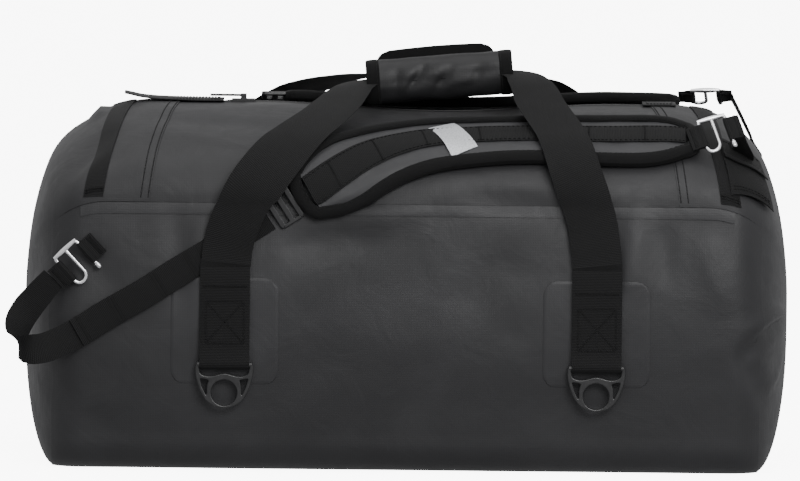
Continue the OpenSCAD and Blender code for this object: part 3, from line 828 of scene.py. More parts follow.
def build_handle(name, path, rear):
    cols = 8
    left = bar_rows(left_anchor_x, cols, -1)
    run = left[-1][0][2][0] / MM
    middle = laid_rows(smooth_path(path, 5.0), WEB, cols, hanging(9.1 if rear else 2.7), run + BAR_GAP)
    end = middle[-1][0][2][0] / MM + BAR_GAP
    right = [[(a, b, ((end + run) * MM - uv[0], uv[1])) for a, b, uv in row]
             for row in reversed(bar_rows(right_anchor_x, cols, 1))]
    strap = rows_object(f"{name}_strap", left + middle + right, WEBBING, rear)
    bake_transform(strap)
    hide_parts(f"{name}_handle_webbing", f"{name}_left_handle_anchor", f"{name}_right_handle_anchor")
    for x, which, drop in ((left_anchor_x, "left", 0), (right_anchor_x, "right", -4)):
        low, high, half = 132 + drop, 174 + drop, 19
        corners = [(x - half, low), (x + half, low), (x + half, high), (x - half, high), (x - half, low)]
        lines = [[(*a, 0), (*b, 0)] for a, b in zip(corners, corners[1:])]
        lines += [[(x - half, low, 0), (x + half, high, 0)], [(x + half, low, 0), (x - half, high, 0)]]
        lines.append([(x - 22, high + 15, 0), (x + 22, high + 15, 0)])
        stitches(f"{name}_{which}_cross_stitches", lines, THREAD, "root", point=strap_face, pitch=2.9,
                 length=2.3, width=1.5, height=0.5, rear=rear)


def hanging(seed):
    """Points off the ideal skin, for what hangs free of the fabric's folds."""
    def point(x, s, n=0.0):
        lift = 0.5 * noise.noise(Vector((x / 34, s / 30, seed)))
        return (skin_point(x, s) + (n + lift) * normal_at(x, s)) * MM

    return point


def strap_face(x, z, n):
    """On the outer face of the webbing above a ring."""
    return np.array((x, -193.2 - 0.5 * max(0.0, (152 - z) / 22) - n, z)) * MM


# ---------- Lashing rings ----------

RING_MIDDLE = 99.5
RING_THICKNESS = 5.2
RING_EDGE = 1.2
EYE_HEIGHT = -17.5
EYE_RADIUS = 13
# Right half of a ring's outline as (x, z), from the bottom up round the arm's tip to the crossbar's middle
RING_OUTLINE = [(0, -33), (9, -31.6), (17, -26.5), (22.5, -19), (26.2, -10), (28.4, -2), (29.2, 5),
                (28.8, 9.5), (27.7, 12.6), (26.2, 12.5), (25.4, 9.5), (25.0, 5.5), (23.6, 1.8), (18.5, -0.6),
                (12, -0.6), (6, 1.0), (0, 2.0)]
RING_SLOT = [(16.2, -5.0), (23.4, -3.6), (23.3, -6.5), (21.8, -11.5), (19.3, -17), (17.8, -19.4),
             (17.5, -17), (17.3, -12), (16.6, -8)]


def closed_curve(points, step=0.8):
    ring = smooth_path([(x, z, 0.0) for x, z in points[-1:] + points + points[:2]], step)
    start = next(i for i, q in enumerate(ring) if np.linalg.norm(q[:2] - points[0]) < 0.01)
    stop = max(i for i, q in enumerate(ring) if np.linalg.norm(q[:2] - points[0]) < 0.01)
    return [(q[0], q[1]) for q in ring[start:stop]]


def plate_geometry(outlines, thickness, round_edge):
    """A flat moulded plate with rounded edges, in its own plane: x along it, z up, its face towards -y."""
    curve = bpy.data.curves.new("plate", "CURVE")
    curve.dimensions = "2D"
    curve.fill_mode = "BOTH"
    curve.extrude = thickness / 2 - round_edge
    curve.bevel_depth = round_edge
    curve.offset = -round_edge
    curve.bevel_resolution = 3
    for points in outlines:
        spline = curve.splines.new("POLY")
        spline.points.add(len(points) - 1)
        for i, (x, z) in enumerate(points):
            spline.points[i].co = (x, z, 0, 1)
        spline.use_cyclic_u = True
    holder = bpy.data.objects.new("plate", curve)
    bpy.context.scene.collection.objects.link(holder)
    flat = bpy.data.meshes.new_from_object(holder.evaluated_get(bpy.context.evaluated_depsgraph_get()))
    verts = [np.array((v.co.x, -v.co.z, v.co.y)) for v in flat.vertices]
    faces = [tuple(f.vertices) for f in flat.polygons]
    bpy.data.objects.remove(holder)
    bpy.data.curves.remove(curve)
    bpy.data.meshes.remove(flat)
    return verts, faces


def build_ring(node, x0, rear):
    outer = closed_curve(RING_OUTLINE + [(-x, z) for x, z in reversed(RING_OUTLINE[1:-1])])
    eye = [(EYE_RADIUS * math.cos(a), EYE_HEIGHT + EYE_RADIUS * math.sin(a))
           for a in steps(0, 2 * math.pi, 72)[:-1]]
    slot = closed_curve(RING_SLOT)
    outlines = [outer, eye, slot, [(-x, z) for x, z in slot]]
    verts, faces = plate_geometry(outlines, RING_THICKNESS, RING_EDGE)
    place = np.array((x0, bar_y, RING_MIDDLE))
    verts = [(v + place) * MM for v in verts]
    bar = [np.array((x0 + k, bar_y, bar_height)) * MM for k in steps(-27, 27, 8)]
    verts, faces = join_geometry([(verts, faces), wire_geometry(bar, lambda t: 3 * MM)])
    if rear:
        verts, faces = mirrored(verts, faces)
    ring = new_object(node + "_moulding", verts, faces, PLASTIC, smooth_angle=50)
    settle(ring, node, "moulded_plastic", node)


def build_rings():
    for side, rear in (("front", False), ("rear", True)):
        build_ring(f"{side}_left_ring", left_anchor_x, rear)
        build_ring(f"{side}_right_ring", right_anchor_x, rear)


# ---------- Grip wrap ----------

grip_centre = np.array((31.5, -32, 390.0))
grip_tilt = math.radians(5)
grip_length = 149
grip_depth = 34
grip_height = 44
binding_length = 14
GRIP_FRAME = Matrix.Translation(grip_centre * MM) @ Matrix.Rotation(-grip_tilt, 4, "Y")


def grip_point(x, y, z):
    return np.array(GRIP_FRAME @ Vector((x * MM, y * MM, z * MM)))


def rolled(angle, depth, height, power=2.3):
    """A rounded outline. Angle 0 points up and grows towards the front."""
    c, s = math.cos(angle), math.sin(angle)
    r = (abs(s / (depth / 2)) ** power + abs(c / (height / 2)) ** power) ** (-1 / power)
    return -r * s, r * c


# Creases of the wrap: (x at top, x at bottom, middle angle, depth, width)
GRIP_CREASES = [(-6, -44, 1.5, 4.2, 5), (22, -14, 1.7, 3.4, 6), (-40, -48, 1.6, 2.2, 5),
                (46, 30, 1.6, 2.4, 6), (-10, 12, 4.4, 2.4, 7), (38, 26, 4.3, 2.4, 6)]
GRIP_WALL = 4.4


def grip_surface(x, angle, grow):
    y, z = rolled(angle, grip_depth + grow, grip_height + grow)
    pull = 0.0
    for top, bottom, middle, depth, width in GRIP_CREASES:
        along = angle / math.pi
        line = top + (bottom - top) * min(1.0, along)
        pull += depth * math.exp(-((x - line) / width) ** 2) * math.exp(-((angle - middle) / 0.75) ** 2)
    pull -= 0.9 * math.cos(x / grip_length * math.pi)
    pull += 0.9 * noise.noise(Vector((x / 26, 2 * math.cos(angle), 2 * math.sin(angle))))
    scale = 1 - pull / 20
    return grip_point(x, y * scale, z * scale)


def cuff(x, angle, grow):
    """A point on the grip's plain outline, for the bound ends."""
    y, z = rolled(angle, grip_depth + grow, grip_height + grow)
    return grip_point(x, y, z)


def tube_rows(xs, count, outer, inner):
    """Rows round the grip, from functions of place along it and angle."""
    places = list(reversed(list(enumerate(xs))))
    return [[(outer(i, x, a), inner(i, x, a), (a * 22 * MM, x * MM)) for i, x in places]
            for a in steps(0, 2 * math.pi, count)]


def build_grip():
    half = grip_length / 2
    cover = tube_rows(steps(-half + 8, half - 8, 44), 64, lambda i, x, a: grip_surface(x, a, -0.6),
                      lambda i, x, a: grip_surface(x, a, -0.6 - GRIP_WALL))
    wrap = rows_object("grip_wrap_cover", cover, GRIP_FACE)
    settle(wrap, "front_handle", "tarpaulin", "grip_wrap")
    edge_lines = []
    for which, a, side in (("left", -half, 1), ("right", half - binding_length, -1)):
        b = a + binding_length
        xs = (a, a + 0.8, a + 3, (a + b) / 2, b - 3, b - 0.8, b)
        swell = (-1.6, 0.7, 1.7, 2.0, 1.7, 0.6, -0.8)
        rows = tube_rows(xs, 64, lambda i, x, angle: cuff(x, angle, swell[i]),
                         lambda i, x, angle: cuff(x, angle, -6))
        edge = rows_object(f"grip_{which}_binding", rows, BINDING)
        settle(edge, "front_handle", "binding_tape", *(("grip_bindings",) if which == "left" else ()))
        x = side * (binding_length - 2.5 - half)
        edge_lines.append([(x, angle, 0) for angle in steps(0, 2 * math.pi, 60)])
    stitches("grip_binding_stitches", edge_lines, THREAD, "front_handle", "binding_tape",
             point=lambda x, a, n: cuff(x, a, 1.9 + 2 * n), pitch=0.1, length=0.12, width=0.8, height=0.3)
    build_flap()


def build_flap():
    """The wrap's open closing flap: a curved tongue that stands up behind the grip."""
    low, high, round_end = 2, 30, 14
    rows = []
    for i in range(15):
        v = i / 14
        z = low + (high - low) * v
        end = max(0.0, z - (high - round_end))
        half_width = 61 - round_end + math.sqrt(max(0.0, round_end ** 2 - end ** 2))
        row = []
        for k in steps(1, -1, 32):
            x = -3 + k * half_width
            crown = 3.0 * (1 - (x / 70) ** 2)
            lean = 0.8 * math.sin(x / 17) * v + 2.2 * v
            y = grip_depth / 2 + 0.8 + lean
            zz = z - 2 + crown * v
            row.append((grip_point(x, y + 1.3, zz), grip_point(x, y, zz), (x * MM, z * MM)))
        rows.append(row)
    flap = rows_object("grip_closing_flap", rows, BINDING)
    settle(flap, "front_handle", "webbing", "grip_flap")


# ---------- Shoulder straps ----------

PAD = 82
FRONT_PAD = [(-98, 302, 2, 60), (-86, 310, 2, 72), (-66, 323, 2, PAD), (-38, 340, 2, PAD),
             (-8, 354, 2, PAD), (26, 364, 2, PAD), (72, 371, 2, PAD), (128, 374, 2, PAD),
             (190, 373, 2, PAD), (238, 373, 2, PAD), (262, 373, 2, 74), (279, 373, 2, 58)]
REAR_PAD = [(-112, 443, 2, 58), (-98, 444, 2, 72), (-66, 445, 2, PAD), (0, 445, 2, PAD), (90, 445, 2, PAD),
            (170, 445, 2, PAD), (222, 444, 2, PAD), (246, 443, 2, 74), (262, 442, 2, 58)]


def crown(k):
    """Height of the pad's face at k across it, from -1 to 1, with channels beside the middle webbing."""
    full = 1 - abs(k) ** 3.2 * 0.55
    channel = 0.16 * math.exp(-((abs(k) - 0.46) / 0.07) ** 2)
    return full - channel


def build_pad(name, path, rear):
    point = skin_of(rear)
    soft = smooth_path(path, 5.0)
    seed = 11.0 if rear else 3.0
    core = []
    cols = 20
    for i, (p, run) in enumerate(zip(soft, distances(soft))):
        vx, vs = across_path(soft, i)
        row = []
        for j in range(cols + 1):
            k = 2 * j / cols - 1
            w = k * (p[3] / 2 - 4)
            x, s = p[0] + vx * w, p[1] + vs * w
            wrinkle = 0.9 * noise.noise(Vector((run / 24, w / 15, seed))) * (1 - abs(k) ** 4)
            top = p[2] + 1 + 8 * crown(k) + wrinkle
            row.append((point(x, s, top), point(x, s, p[2] + 0.4), (run * MM, w * MM)))
        core.append(row)
    pad = rows_object(f"{name}_pad_foam", core, PAD_FACE, rear)
    settle(pad, "root", "pad_face", f"{name}_pad")
    build_pad_binding(name, soft, point, rear)
    middle = [(p[0], p[1], p[2] + 8.7, STRAP) for p in path]
    web = laid_strip(f"{name}_pad_middle_webbing", middle, 1.5, WEBBING, 6, rear, 5.0, point)
    settle(web, "root", "webbing", f"{name}_pad_webbing")
    dense = smooth_path([(p[0], p[1], p[2] + 10.3, p[3]) for p in path], 9.0)

    def beside(i, off):
        vx, vs = across_path(dense, i)
        return dense[i][0] + vx * off, dense[i][1] + vs * off, dense[i][2]

    lines = [[beside(i, side * (STRAP / 2 - 2.2)) for i in range(len(dense))] for side in (-1, 1)]
    stitches(f"{name}_pad_webbing_stitches", lines, THREAD, "root", point=point, pitch=3.6, length=2.7,
             rear=rear)
    ties = [[beside(i, -13.5), beside(i, 13.5)] for i in range(4, len(dense) - 3, 6)]
    stitches(f"{name}_pad_bartacks", ties, THREAD, "root", point=point, pitch=1.2, length=1.1, width=2.4,
             height=0.5, rear=rear)


def build_pad_binding(name, soft, point, rear):
    """Bound edge that goes right round the pad."""
    inset, reach, half_height = 6.0, 6.5, 5.4
    right, left = [], []
    for i, p in enumerate(soft):
        vx, vs = across_path(soft, i)
        w = p[3] / 2 - inset
        right.append(np.array((p[0] + vx * w, p[1] + vs * w)))
        left.append(np.array((p[0] - vx * w, p[1] - vs * w)))

    def cap(a, b, outwards):
        centre, half = (a + b) / 2, (b - a) / 2
        out = np.array((half[1], -half[0])) / np.linalg.norm(half) * outwards
        return [centre - half * math.cos(t) + out * math.sin(t) * 10 for t in steps(0, math.pi, 12)][1:-1]

    start_out = unit(soft[0][:2] - soft[1][:2])
    end_out = unit(soft[-1][:2] - soft[-2][:2])

    def side_of(a, b, want):
        half = (b - a) / 2
        out = np.array((half[1], -half[0]))
        return 1 if out.dot(want) > 0 else -1

    loop = right + cap(right[-1], left[-1], side_of(right[-1], left[-1], end_out)) + left[::-1]
    loop += cap(left[0], right[0], side_of(left[0], right[0], start_out))
    count = len(loop)
    ring = 12
    verts, faces, uvs = [], [], []
    run = 0.0
    for i in range(count):
        a, b = loop[i - 1], loop[(i + 1) % count]
        run += np.linalg.norm(loop[i] - a)
        d = unit(b - a)
        v = np.array((-d[1], d[0]))
        for j in range(ring):
            t = 2 * math.pi * j / ring
            c, h = math.cos(t), math.sin(t)
            off = reach * math.copysign(abs(c) ** 0.75, c)
            up = half_height * math.copysign(abs(h) ** 0.75, h)
            ripple = 0.35 * noise.noise(Vector((run / 9, t, 1.3)))
            x, s = loop[i] + v * (off + ripple)
            verts.append(point(x, s, 2 + half_height + 0.2 + up))
            uvs.append((run * MM, t * 5 * MM))
    for i in range(count):
        for j in range(ring):
            a, b = i * ring + j, i * ring + (j + 1) % ring
            c, e = ((i + 1) % count) * ring + j, ((i + 1) % count) * ring + (j + 1) % ring
            faces.append((a, b, e, c))
    if rear:
        verts, faces = mirrored(verts, faces)
    bound = new_object(f"{name}_pad_bound_edge", verts, faces, BINDING, uvs)
    settle(bound, "root", "binding_tape", f"{name}_pad_binding")
    inner = []
    for i in range(0, count + 1):
        a, p, b = loop[(i - 1) % count], loop[i % count], loop[(i + 1) % count]
        d = unit(b - a)
        inner.append((p[0] + d[1] * 4.6, p[1] - d[0] * 4.6, 2 + 2 * half_height - 0.9))
    stitches(f"{name}_pad_edge_stitches", [inner], THREAD, "root", "binding_tape", point=point, pitch=3.4,
             length=2.5, width=0.7, height=0.35, rear=rear)


def build_reflective_tab(name, start, end, rear):
    point = skin_of(rear)
    path = [(*[a + (b - a) * k for a, b in zip(start, end)], 12.6 - 2.4 * abs(2 * k - 1) ** 2.5, 29)
            for k in steps(0, 1, 8)]
    tab = laid_strip(f"{name}_reflective_band", path, 0.6, REFLECTIVE, 8, rear, 2.5, point)
    settle(tab, "root", "reflective_tape", f"{name}_reflective_tab")


def local_frame(place, turn_x, turn_z, rear=False):
    m = Matrix.Translation(Vector(place) * MM) @ Matrix.Rotation(math.radians(turn_x), 4, "X") \
        @ Matrix.Rotation(math.radians(turn_z), 4, "Z")
    return Matrix.Scale(-1, 4, (0, 1, 0)) @ m if rear else m


TAIL_HOOKS = {"front": local_frame((-331, -190.6, 212), 90, 43),
              "rear": local_frame((-306, -190.4, 212), 90, 240, True)}
TOP_HOOKS = {"front": local_frame((309, -147, 345), 58, 18),
             "rear": local_frame((305, -70, 366), 25, 5, True)}
HOOK_REACH = 14
HOOK_HALF = 17


def at(frame_matrix, x, y, z=0.0):
    return np.array(frame_matrix @ Vector((x * MM, y * MM, z * MM)))


def rounded_route(points, radius, count=5):
    """The same corners, each turned into a short curve."""
    pts = [np.array(p, float) for p in points]
    out = [pts[0]]
    for a, b, c in zip(pts, pts[1:], pts[2:]):
        r = min(radius, 0.45 * np.linalg.norm(b - a), 0.45 * np.linalg.norm(c - b))
        p, q = b + unit(a - b) * r, b + unit(c - b) * r
        out += [(1 - t) ** 2 * p + 2 * t * (1 - t) * b + t * t * q for t in steps(0, 1, count)]
    out.append(pts[-1])
    return out


def wire_geometry(points, radius_at, sides=14):
    """A round bar swept along points (metres), with rounded ends."""
    verts, faces = [], []
    n = len(points)
    normal = None
    total = sum(np.linalg.norm(b - a) for a, b in zip(points, points[1:]))
    run = 0.0
    for i, p in enumerate(points):
        if i:
            run += np.linalg.norm(p - points[i - 1])
        d = unit(points[min(n - 1, i + 1)] - points[max(0, i - 1)])
        if normal is None:
            normal = unit(np.cross(d, (0.3, 0.2, 0.9)))
        normal = unit(normal - normal.dot(d) * d)
        other = np.cross(d, normal)
        r = radius_at(run / total)
        for j in range(sides):
            t = 2 * math.pi * j / sides
            verts.append(p + (normal * math.cos(t) + other * math.sin(t)) * r)
    for i in range(n - 1):
        for j in range(sides):
            k = (j + 1) % sides
            faces.append((i * sides + j, i * sides + k, (i + 1) * sides + k, (i + 1) * sides + j))
    faces.append(tuple(reversed(range(sides))))
    faces.append(tuple((n - 1) * sides + j for j in range(sides)))
    return verts, faces


def ball_geometry(centre, radius, stretch=None, rings=10, sides=16):
    verts, faces = [], []
    stretch = np.zeros(3) if stretch is None else stretch
    for i in range(rings + 1):
        lat = math.pi * i / rings
        for j in range(sides):
            lon = 2 * math.pi * j / sides
            v = np.array((math.sin(lat) * math.cos(lon), math.sin(lat) * math.sin(lon), math.cos(lat)))
            shift = stretch * (1 if v.dot(unit(stretch)) > 0 else -1) if stretch.any() else 0
            verts.append(centre + v * radius + shift)
    for i in range(rings):
        for j in range(sides):
            k = (j + 1) % sides
            faces.append((i * sides + j, (i + 1) * sides + j, (i + 1) * sides + k, i * sides + k))
    return verts, faces


def join_geometry(parts):
    verts, faces = [], []
    for v, f in parts:
        base = len(verts)
        verts += v
        faces += [tuple(base + i for i in face) for face in f]
    return verts, faces


def build_hook(name, m, body, rear):
    """Open-sided wire hook: one bent wire, with a bead on its free end."""
    r, u, w = 1.75, HOOK_REACH, HOOK_HALF
    corners = [(u, -w, 0), (u, w, 0), (-u, w, 0), (-u, 3 - w, 0), (2 - u, -w - 1, 0), (-8, -w - 2.5, 0),
               (-3, -w - 1, 0), (0, 3 - w, 0), (0, w, 0)]
    wire = [at(m, *corner) for corner in rounded_route(corners, 4)]
    bead = at(m, u, -w)
    axis = at(m, u, -w + 1) - bead
    parts = [wire_geometry(wire, lambda t: r * MM), ball_geometry(bead, 2.5 * MM, axis * 1.6)]
    rail = [at(m, x, w) for x in steps(-u - 0.5, u + 0.5, 12)]
    parts.append(wire_geometry(rail, lambda t: (r + 0.9 * math.sin(math.pi * t)) * MM))
    verts, faces = join_geometry(parts)
    if rear:
        faces = [tuple(reversed(f)) for f in faces]
    hook = new_object(name + "_wire", verts, faces, METAL, smooth_angle=50)
    settle(hook, body, "hook_metal", name)


def fold_rows(m, bar, to, width, radius=2.7):
    """Webbing folded round a hook's bar, with both plies going on to x = to."""
    sign = 1 if to > bar else -1
    profile = [(to, 0.95), (bar + sign * 9, 1.0), (bar + sign * 5, 1.7)]
    profile += [(bar - sign * radius * math.cos(turn * math.pi), radius * math.sin(turn * math.pi))
                for turn in (0.75, 0.6, 0.5, 0.3, 0.1, -0.1, -0.3, -0.5, -0.6, -0.75)]
    profile += [(bar + sign * 5, -1.7), (bar + sign * 9, -1.0), (to, -0.95)]
    path = smooth_path([(x, z, 0.0) for x, z in profile], 1.6)
    across = np.array((0, sign, 0))
    rows = []
    for i, (p, run) in enumerate(zip(path, distances(path))):
        vx, vz = across_path(path, i)
        out = np.array((vx, 0, vz)) * sign
        row = ribbon_row(np.array((p[0], 0, p[1])), across, out, width, 1.5, 6, run)
        rows.append([(at(m, *(a / MM)), at(m, *(b / MM)), uv) for a, b, uv in row])
    return rows


def webbing_fold(name, m, bar, to, width, body, rear, *nodes):
    rows = fold_rows(m, bar, to, width)
    if rear:
        rows = [list(reversed(row)) for row in rows]
    fold = rows_object(name, rows, WEBBING)
    settle(fold, body, "webbing", *nodes)
    tacks = []
    for off in (4.0, 6.2):
        x = to - math.copysign(off, to - bar)
        tacks.append([(x, -width / 2 + 2, 0), (x, width / 2 - 2, 0)])
    side = -1 if rear else 1
    stitches(name + "_tack", tacks, THREAD, body, point=lambda x, y, n: at(m, x, y, side * (1.75 + n)),
             pitch=1.4, length=1.3, width=1.6, height=0.5)


FRONT_TAIL = [(-140, -181, 259), (-168, -184.4, 241), (-194, -185.6, 224), (-230, -187.8, 202),
              (-263, -190.8, 181), (-299, -191.4, 160), (-326, -193.6, 143), (-347, -198.6, 132),
              (-364, -205, 126), (-379, -208, 126), (-389, -203, 134), (-389, -194, 148), (-381, -188, 163),
              (-368, -188, 179), (-354, -190, 195)]
TAIL_LEAN = unit(np.array((-0.5, 0, 0.86)))
REAR_TAIL = [(-154, 442, 3, STRAP), (-180, 427, 3, STRAP), (-204, 402, 3, STRAP), (-224, 372, 4, STRAP),
             (-233, 356, 4.5, STRAP), (-242, 340, 4.5, STRAP), (-250, 326, 4.5, STRAP),
             (-257, 312, 4.5, STRAP), (-264, 299, 4, STRAP), (-270, 288, 3.5, STRAP),
             (-285, 260, 3.2, STRAP)]


def tail_taper(t):
    return 1 - 0.17 * max(0.0, (t - 0.9) / 0.1)


def build_front_tail():
    route = smooth_path(FRONT_TAIL, 4.0)
    rows = route_rows(route, TAIL_LEAN, STRAP, WEB, 6, tail_taper)
    tail = rows_object("front_tail_strap", rows, WEBBING)
    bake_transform(tail)
    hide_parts("front_tail_webbing")
    over = [p + np.array((0, -2.0, 0)) for p in route]
    ply = [p for p in over if -330 < p[0] < -205 and p[2] > 139]
    second = rows_object("front_tail_second_ply", route_rows(ply, TAIL_LEAN, STRAP - 0.5, WEB, 6), WEBBING)
    settle(second, "root", "webbing")
    tacks = []
    third = len(ply) // 3
    for i in (2, 3, third, third + 1, 2 * len(ply) // 3, 2 * len(ply) // 3 + 1, len(ply) - 3):
        d = unit(ply[i] - ply[i - 1])
        side = unit(TAIL_LEAN - TAIL_LEAN.dot(d) * d)
        tacks.append([(p[0], p[2], p[1]) for p in (ply[i] - side * 13, ply[i] + side * 13)])
    stitches("front_tail_bartacks", tacks, THREAD, "root",
             point=lambda x, z, y: np.array((x, y - 0.9, z)) * MM,
             pitch=1.4, length=1.3, width=2.0, height=0.5)


def build_straps():
    for name, path, rear in (("front", FRONT_PAD, False), ("rear", REAR_PAD, True)):
        build_pad(name, path, rear)
        build_hook(f"{name}_tail_hook", TAIL_HOOKS[name], f"{name}_tail_hook", rear)
        build_hook(f"{name}_top_hook", TOP_HOOKS[name], f"{name}_top_hook", rear)
        webbing_fold(f"{name}_tail_fold", TAIL_HOOKS[name], -HOOK_REACH, -HOOK_REACH - 14, 25,
                     f"{name}_tail_hook", rear, f"{name}_tail_loop")
        webbing_fold(f"{name}_pad_fold", TOP_HOOKS[name], -HOOK_REACH, -HOOK_REACH - 14, 25,
                     f"{name}_top_hook", rear, f"{name}_pad_loop")
        webbing_fold(f"{name}_tail_anchor", TAIL_HOOKS[name], HOOK_REACH, HOOK_REACH + 16, 25, "root", rear,
                     f"{name}_hook_anchors")
        webbing_fold(f"{name}_top_anchor", TOP_HOOKS[name], HOOK_REACH, HOOK_REACH + 13, 25, "root", rear)
        build_anchor_flap(name, rear)
        build_anchor_leg(name, rear)
    build_reflective_tab("front", (33, 388), (57, 343), False)
    build_reflective_tab("rear", (44, 468), (44, 422), True)
    build_front_tail()
    tail = laid_strip("rear_tail_strap", REAR_TAIL, WEB, WEBBING, 6, True, 5.0, rear_cloth)
    settle(tail, "root", "webbing", "rear_tail_webbing")


# Where the anchor's webbing lands on the lid, as (x, s, n)
ANCHOR_LEGS = {"front": [(337, 382, 10), (337, 392, 7.8), (337, 403, 7.2)],
               "rear": [(347, 437, 8), (353, 437, 3.6), (361, 437, 2.6)]}


# The wide flap's upper end, as (x, s), and how far it runs down and outwards
FLAP_TOP = (334, 398)
FLAP_LENGTH = 80
FLAP_DRIFT = 10


def build_anchor_leg(name, rear):
    """Webbing that runs from the top hook's anchor down on to the lid's end."""
    point = skin_of(rear)
    m = TOP_HOOKS[name]
    flip = REAR_FLIP if rear else 1
    start = [at(m, x, 0, z) * flip / MM for x, z in ((HOOK_REACH + 6, 0), (HOOK_REACH + 12, -1.5))]
    across = unit(at(m, 0, 1) * flip - at(m, 0, 0) * flip)
    landing = [point(*p) / MM for p in ANCHOR_LEGS[name]]
    x, s, n = ANCHOR_LEGS[name][-1]
    if rear:
        end_across = unit(point(x, s + 1, n) - point(x, s - 1, n))
    else:
        end_across = unit(point(x - 1, s, n) - point(x + 1, s, n))

    def lean(t):
        k = ease(t * 1.3 - 0.15)
        return unit(across * (1 - k) + end_across * k)

    rows = route_rows(smooth_path(start + landing, 2.5), lean, 25, 2.0, 6)
    leg = rows_object(f"{name}_anchor_leg", rows, WEBBING, rear)
    settle(leg, "root", "webbing")


def flap_line(k, n, width):
    """The middle of the anchor flap at k along it, with its height off the skin and its width."""
    return FLAP_TOP[0] + FLAP_DRIFT * k, FLAP_TOP[1] - FLAP_LENGTH * k, n, width


def build_anchor_flap(name, rear):
    """Wide webbing tab on the lid's end: a long ply with a shorter one folded over it."""
    skin = skin_of(rear)

    def point(x, s, n=0.0):
        down = (FLAP_TOP[1] - s) / FLAP_LENGTH
        return skin(x, s + 0.35 * max(0.0, down) * (x - FLAP_TOP[0] - FLAP_DRIFT * down), n)

    path = [flap_line(k, 3.6, 40) for k in steps(0, 1, 10)]
    flap = laid_strip(f"{name}_anchor_tab", path, 1.6, WEBBING, 8, rear, 4.0, point)
    settle(flap, "root", "webbing", f"{name}_anchor_flap")
    upper = [flap_line(k, 5.3 + 1.6 * math.exp(-((k - 0.42) / 0.06) ** 2), 39)
             for k in steps(-0.02, 0.45, 12)]
    fold = laid_strip(f"{name}_anchor_tab_fold", upper, 1.5, WEBBING, 8, rear, 4.0, point)
    settle(fold, "root", "webbing")
    rows = []
    for k, height in ((0.06, 7.0), (0.34, 7.0), (0.94, 5.4), (0.9, 5.4)):
        x, s, n, half = flap_line(k, height, 17)
        rows.append([(x - half, s - 2, n), (x, s, n), (x + half, s + 2, n)])
    stitches(f"{name}_anchor_tab_stitches", rows, THREAD, "root", point=point, pitch=2.8, length=2.2,
             rear=rear)


# ---------- Zipper ----------

TOOTH_PITCH = 3.2
# A tooth's corners about its middle, as (along, across, how the top shrinks along, and across)
TOOTH = [(-0.95, -1.3, 1, 1), (0.95, -1.3, -1, 1), (0.95, 2.4, -1, -1), (-0.95, 2.4, 1, -1)]
# The end docks' middle lines, as (x, height off the skin, width)
DOCKS = {"left": [(-289, 12, 29), (-272, 5, 34), (-258, 3, 36), (-244, 2.4, 36), (-215, 1.6, 36),
                  (-188, 1.6, 36)],
         "right": [(238, 1.6, 36), (255, 1.6, 36), (272, 1.8, 36)]}


def build_zipper():
    start, end = left_cut[1] + 2, right_cut[1] - 2
    for side, name in ((-1, "front"), (1, "rear")):
        rows = []
        for x in spaced(start, end, 6):
            row = []
            for off in (15.5, 13, 9, 5, 2.2, 1.2):
                s = s_apex + side * off
                low = -0.5 if off > zip_half_width else 0.0
                row.append((cloth(x, s, low + 0.6), cloth(x, s, low - 0.8), (x * MM, off * MM)))
            rows.append(list(reversed(row)) if side < 0 else row)
        tape = rows_object(f"zipper_tape_{name}", rows, ZIP_TAPE)
        settle(tape, "root", "zipper_rubber", *(("zipper_tapes",) if side < 0 else ()))
    build_teeth(start, end)
    for name, line in DOCKS.items():
        path = [(x, s_apex, n, width) for x, n, width in line]
        dock = laid_strip(f"{name}_dock_tab", path, 2.2, ZIP_TAPE, 8)
        settle(dock, "root", "zipper_rubber", f"{name}_zipper_dock")
    lines = [[(-240, s_apex + o, 4.1), (-192, s_apex + o, 4.0)] for o in (-15, 15)]
    lines += [[(x, s_apex - 15, 4.1), (x, s_apex + 15, 4.1)] for x in (-192, -196, 242, 268)]
    lines += [[(242, s_apex + o, 4.1), (268, s_apex + o, 4.1)] for o in (-15, 15)]
    stitches("dock_stitches", lines, THREAD, "root", "zipper_rubber", pitch=3.2, length=2.4)


def build_teeth(start, end):
    """Two rows of small teeth that mesh over the zipper's middle."""
    verts, faces = [], []
    for i in range(int((end - start - 8) / TOOTH_PITCH)):
        for side in (-1, 1):
            x = start + 4 + i * TOOTH_PITCH + (TOOTH_PITCH / 2 if side > 0 else 0)
            base = len(verts)
            for n, shrink in ((-0.6, 0), (1.3, 0.25)):
                for dx, ds, in_x, in_s in TOOTH:
                    across = (ds + in_s * shrink) * 0.9
                    verts.append(cloth(x + dx + in_x * shrink, s_apex + side * across, n))
            for f in BOX_FACES:
                face = tuple(base + k for k in f)
                faces.append(tuple(reversed(face)) if side > 0 else face)
    teeth = new_object("zipper_teeth_row", verts, faces, PLASTIC)
    settle(teeth, "root", "moulded_plastic", "zipper_teeth")


# ---------- CAD nodes that are shown ----------

def finish_cad_nodes():
    """Moulded and rigid CAD nodes keep their meshes, with softened edges and real materials."""
    for node in ("front_ladder_lock", "rear_ladder_lock", "zipper_slider", "zipper_pull"):
        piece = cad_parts[node]
        piece.data.materials.clear()
        piece.data.materials.append(PLASTIC)
        weld = piece.modifiers.new("weld", "WELD")
        weld.merge_threshold = 0.00002
        soft = piece.modifiers.new("soft_edges", "BEVEL")
        soft.width = 0.0008 if "lock" in node else 0.0004
        soft.segments = 3
        soft.limit_method = "ANGLE"
        soft.angle_limit = math.radians(40)
        soft.harden_normals = True


# ---------- Stage, light and camera ----------

FLOOR_GLOW = 8.0
FLOOR_REACH = 40
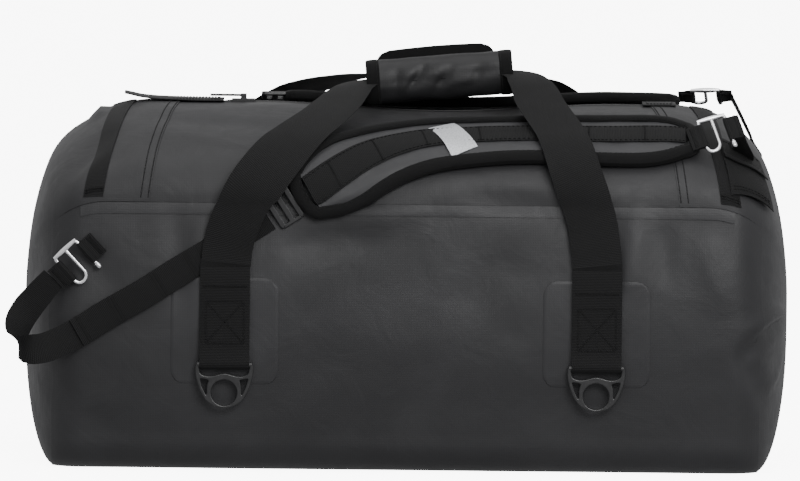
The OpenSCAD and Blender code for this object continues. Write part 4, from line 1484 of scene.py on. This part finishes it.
# The floor lies just below the base, so that the two never share a plane
FLOOR_DROP = 0.0005
PICTURE_WIDTH = 0.801
SENSOR_WIDTH = 36
CAMERA_DISTANCE = 10
CAMERA_LIFT = math.radians(5)
CAMERA_ROLL = math.radians(0.62)
LOOK_AT = Vector((-0.0072, -0.19, 0.2368))


def build_stage():
    floor_mat, tree, shader = new_material("pale_floor", (0.9, 0.9, 0.9), 0.8)
    texture = noise_node(tree, coordinates(tree), 30)
    tree.links.new(range_node(tree, texture, 0.72, 0.88), shader.inputs["Roughness"])
    shader.inputs["Emission Color"].default_value = (1, 1, 1, 1)
    shader.inputs["Emission Strength"].default_value = FLOOR_GLOW
    size = FLOOR_REACH
    verts = [(x, y, -FLOOR_DROP) for x, y in ((-size, -size), (size, -size), (size, size), (-size, size))]
    floor = new_object("floor", verts, [(0, 1, 2, 3)], floor_mat)
    floor.visible_diffuse = False
    floor.visible_glossy = False


def area_light(name, place, aim, size, power):
    data = bpy.data.lights.new(name, "AREA")
    data.shape = "RECTANGLE"
    data.size, data.size_y = size
    data.energy = power
    lamp = bpy.data.objects.new(name, data)
    lamp.location = place
    lamp.rotation_euler = (Vector(aim) - Vector(place)).to_track_quat("-Z", "Y").to_euler()
    bpy.context.scene.collection.objects.link(lamp)


def build_light():
    world = bpy.data.worlds.new("studio")
    bpy.context.scene.world = world
    world.use_nodes = True
    tree = world.node_tree
    where = tree.nodes.new("ShaderNodeTexCoord")
    split = tree.nodes.new("ShaderNodeSeparateXYZ")
    tree.links.new(where.outputs["Generated"], split.inputs[0])
    height = range_node(tree, split.outputs[2], 0, 1)
    height.node.inputs["From Min"].default_value = -1
    shade = ramp_node(tree, height, [(0.2, (0.55, 0.55, 0.56)), (0.5, (0.72, 0.72, 0.73)),
                                     (0.85, (0.85, 0.85, 0.85))])
    tree.links.new(shade, tree.nodes["Background"].inputs["Color"])
    tree.nodes["Background"].inputs["Strength"].default_value = 0.95
    area_light("top_softbox", (-0.3, -0.5, 2.2), (0, 0, 0.2), (2.6, 1.6), 26)
    area_light("front_fill", (0.9, -2.8, 1.6), (0, 0, 0.2), (1.8, 1.2), 72)


def build_camera():
    data = bpy.data.cameras.new("camera")
    data.sensor_width = SENSOR_WIDTH
    data.lens = SENSOR_WIDTH * CAMERA_DISTANCE / PICTURE_WIDTH
    data.clip_end = 200
    camera = bpy.data.objects.new("camera", data)
    back = Vector((0, -math.cos(CAMERA_LIFT), math.sin(CAMERA_LIFT)))
    camera.location = LOOK_AT + back * CAMERA_DISTANCE
    turn = (LOOK_AT - camera.location).to_track_quat("-Z", "Y").to_matrix()
    camera.rotation_euler = (turn @ Matrix.Rotation(CAMERA_ROLL, 3, "Z")).to_euler()
    bpy.context.scene.collection.objects.link(camera)
    bpy.context.scene.camera = camera


def main():
    build_camera()
    build_stage()
    build_light()
    build_body()
    build_body_strips()
    build_handle("front", FRONT_HANDLE, False)
    build_handle("rear", REAR_HANDLE, True)
    build_rings()
    build_grip()
    build_straps()
    build_zipper()
    finish_cad_nodes()


main()
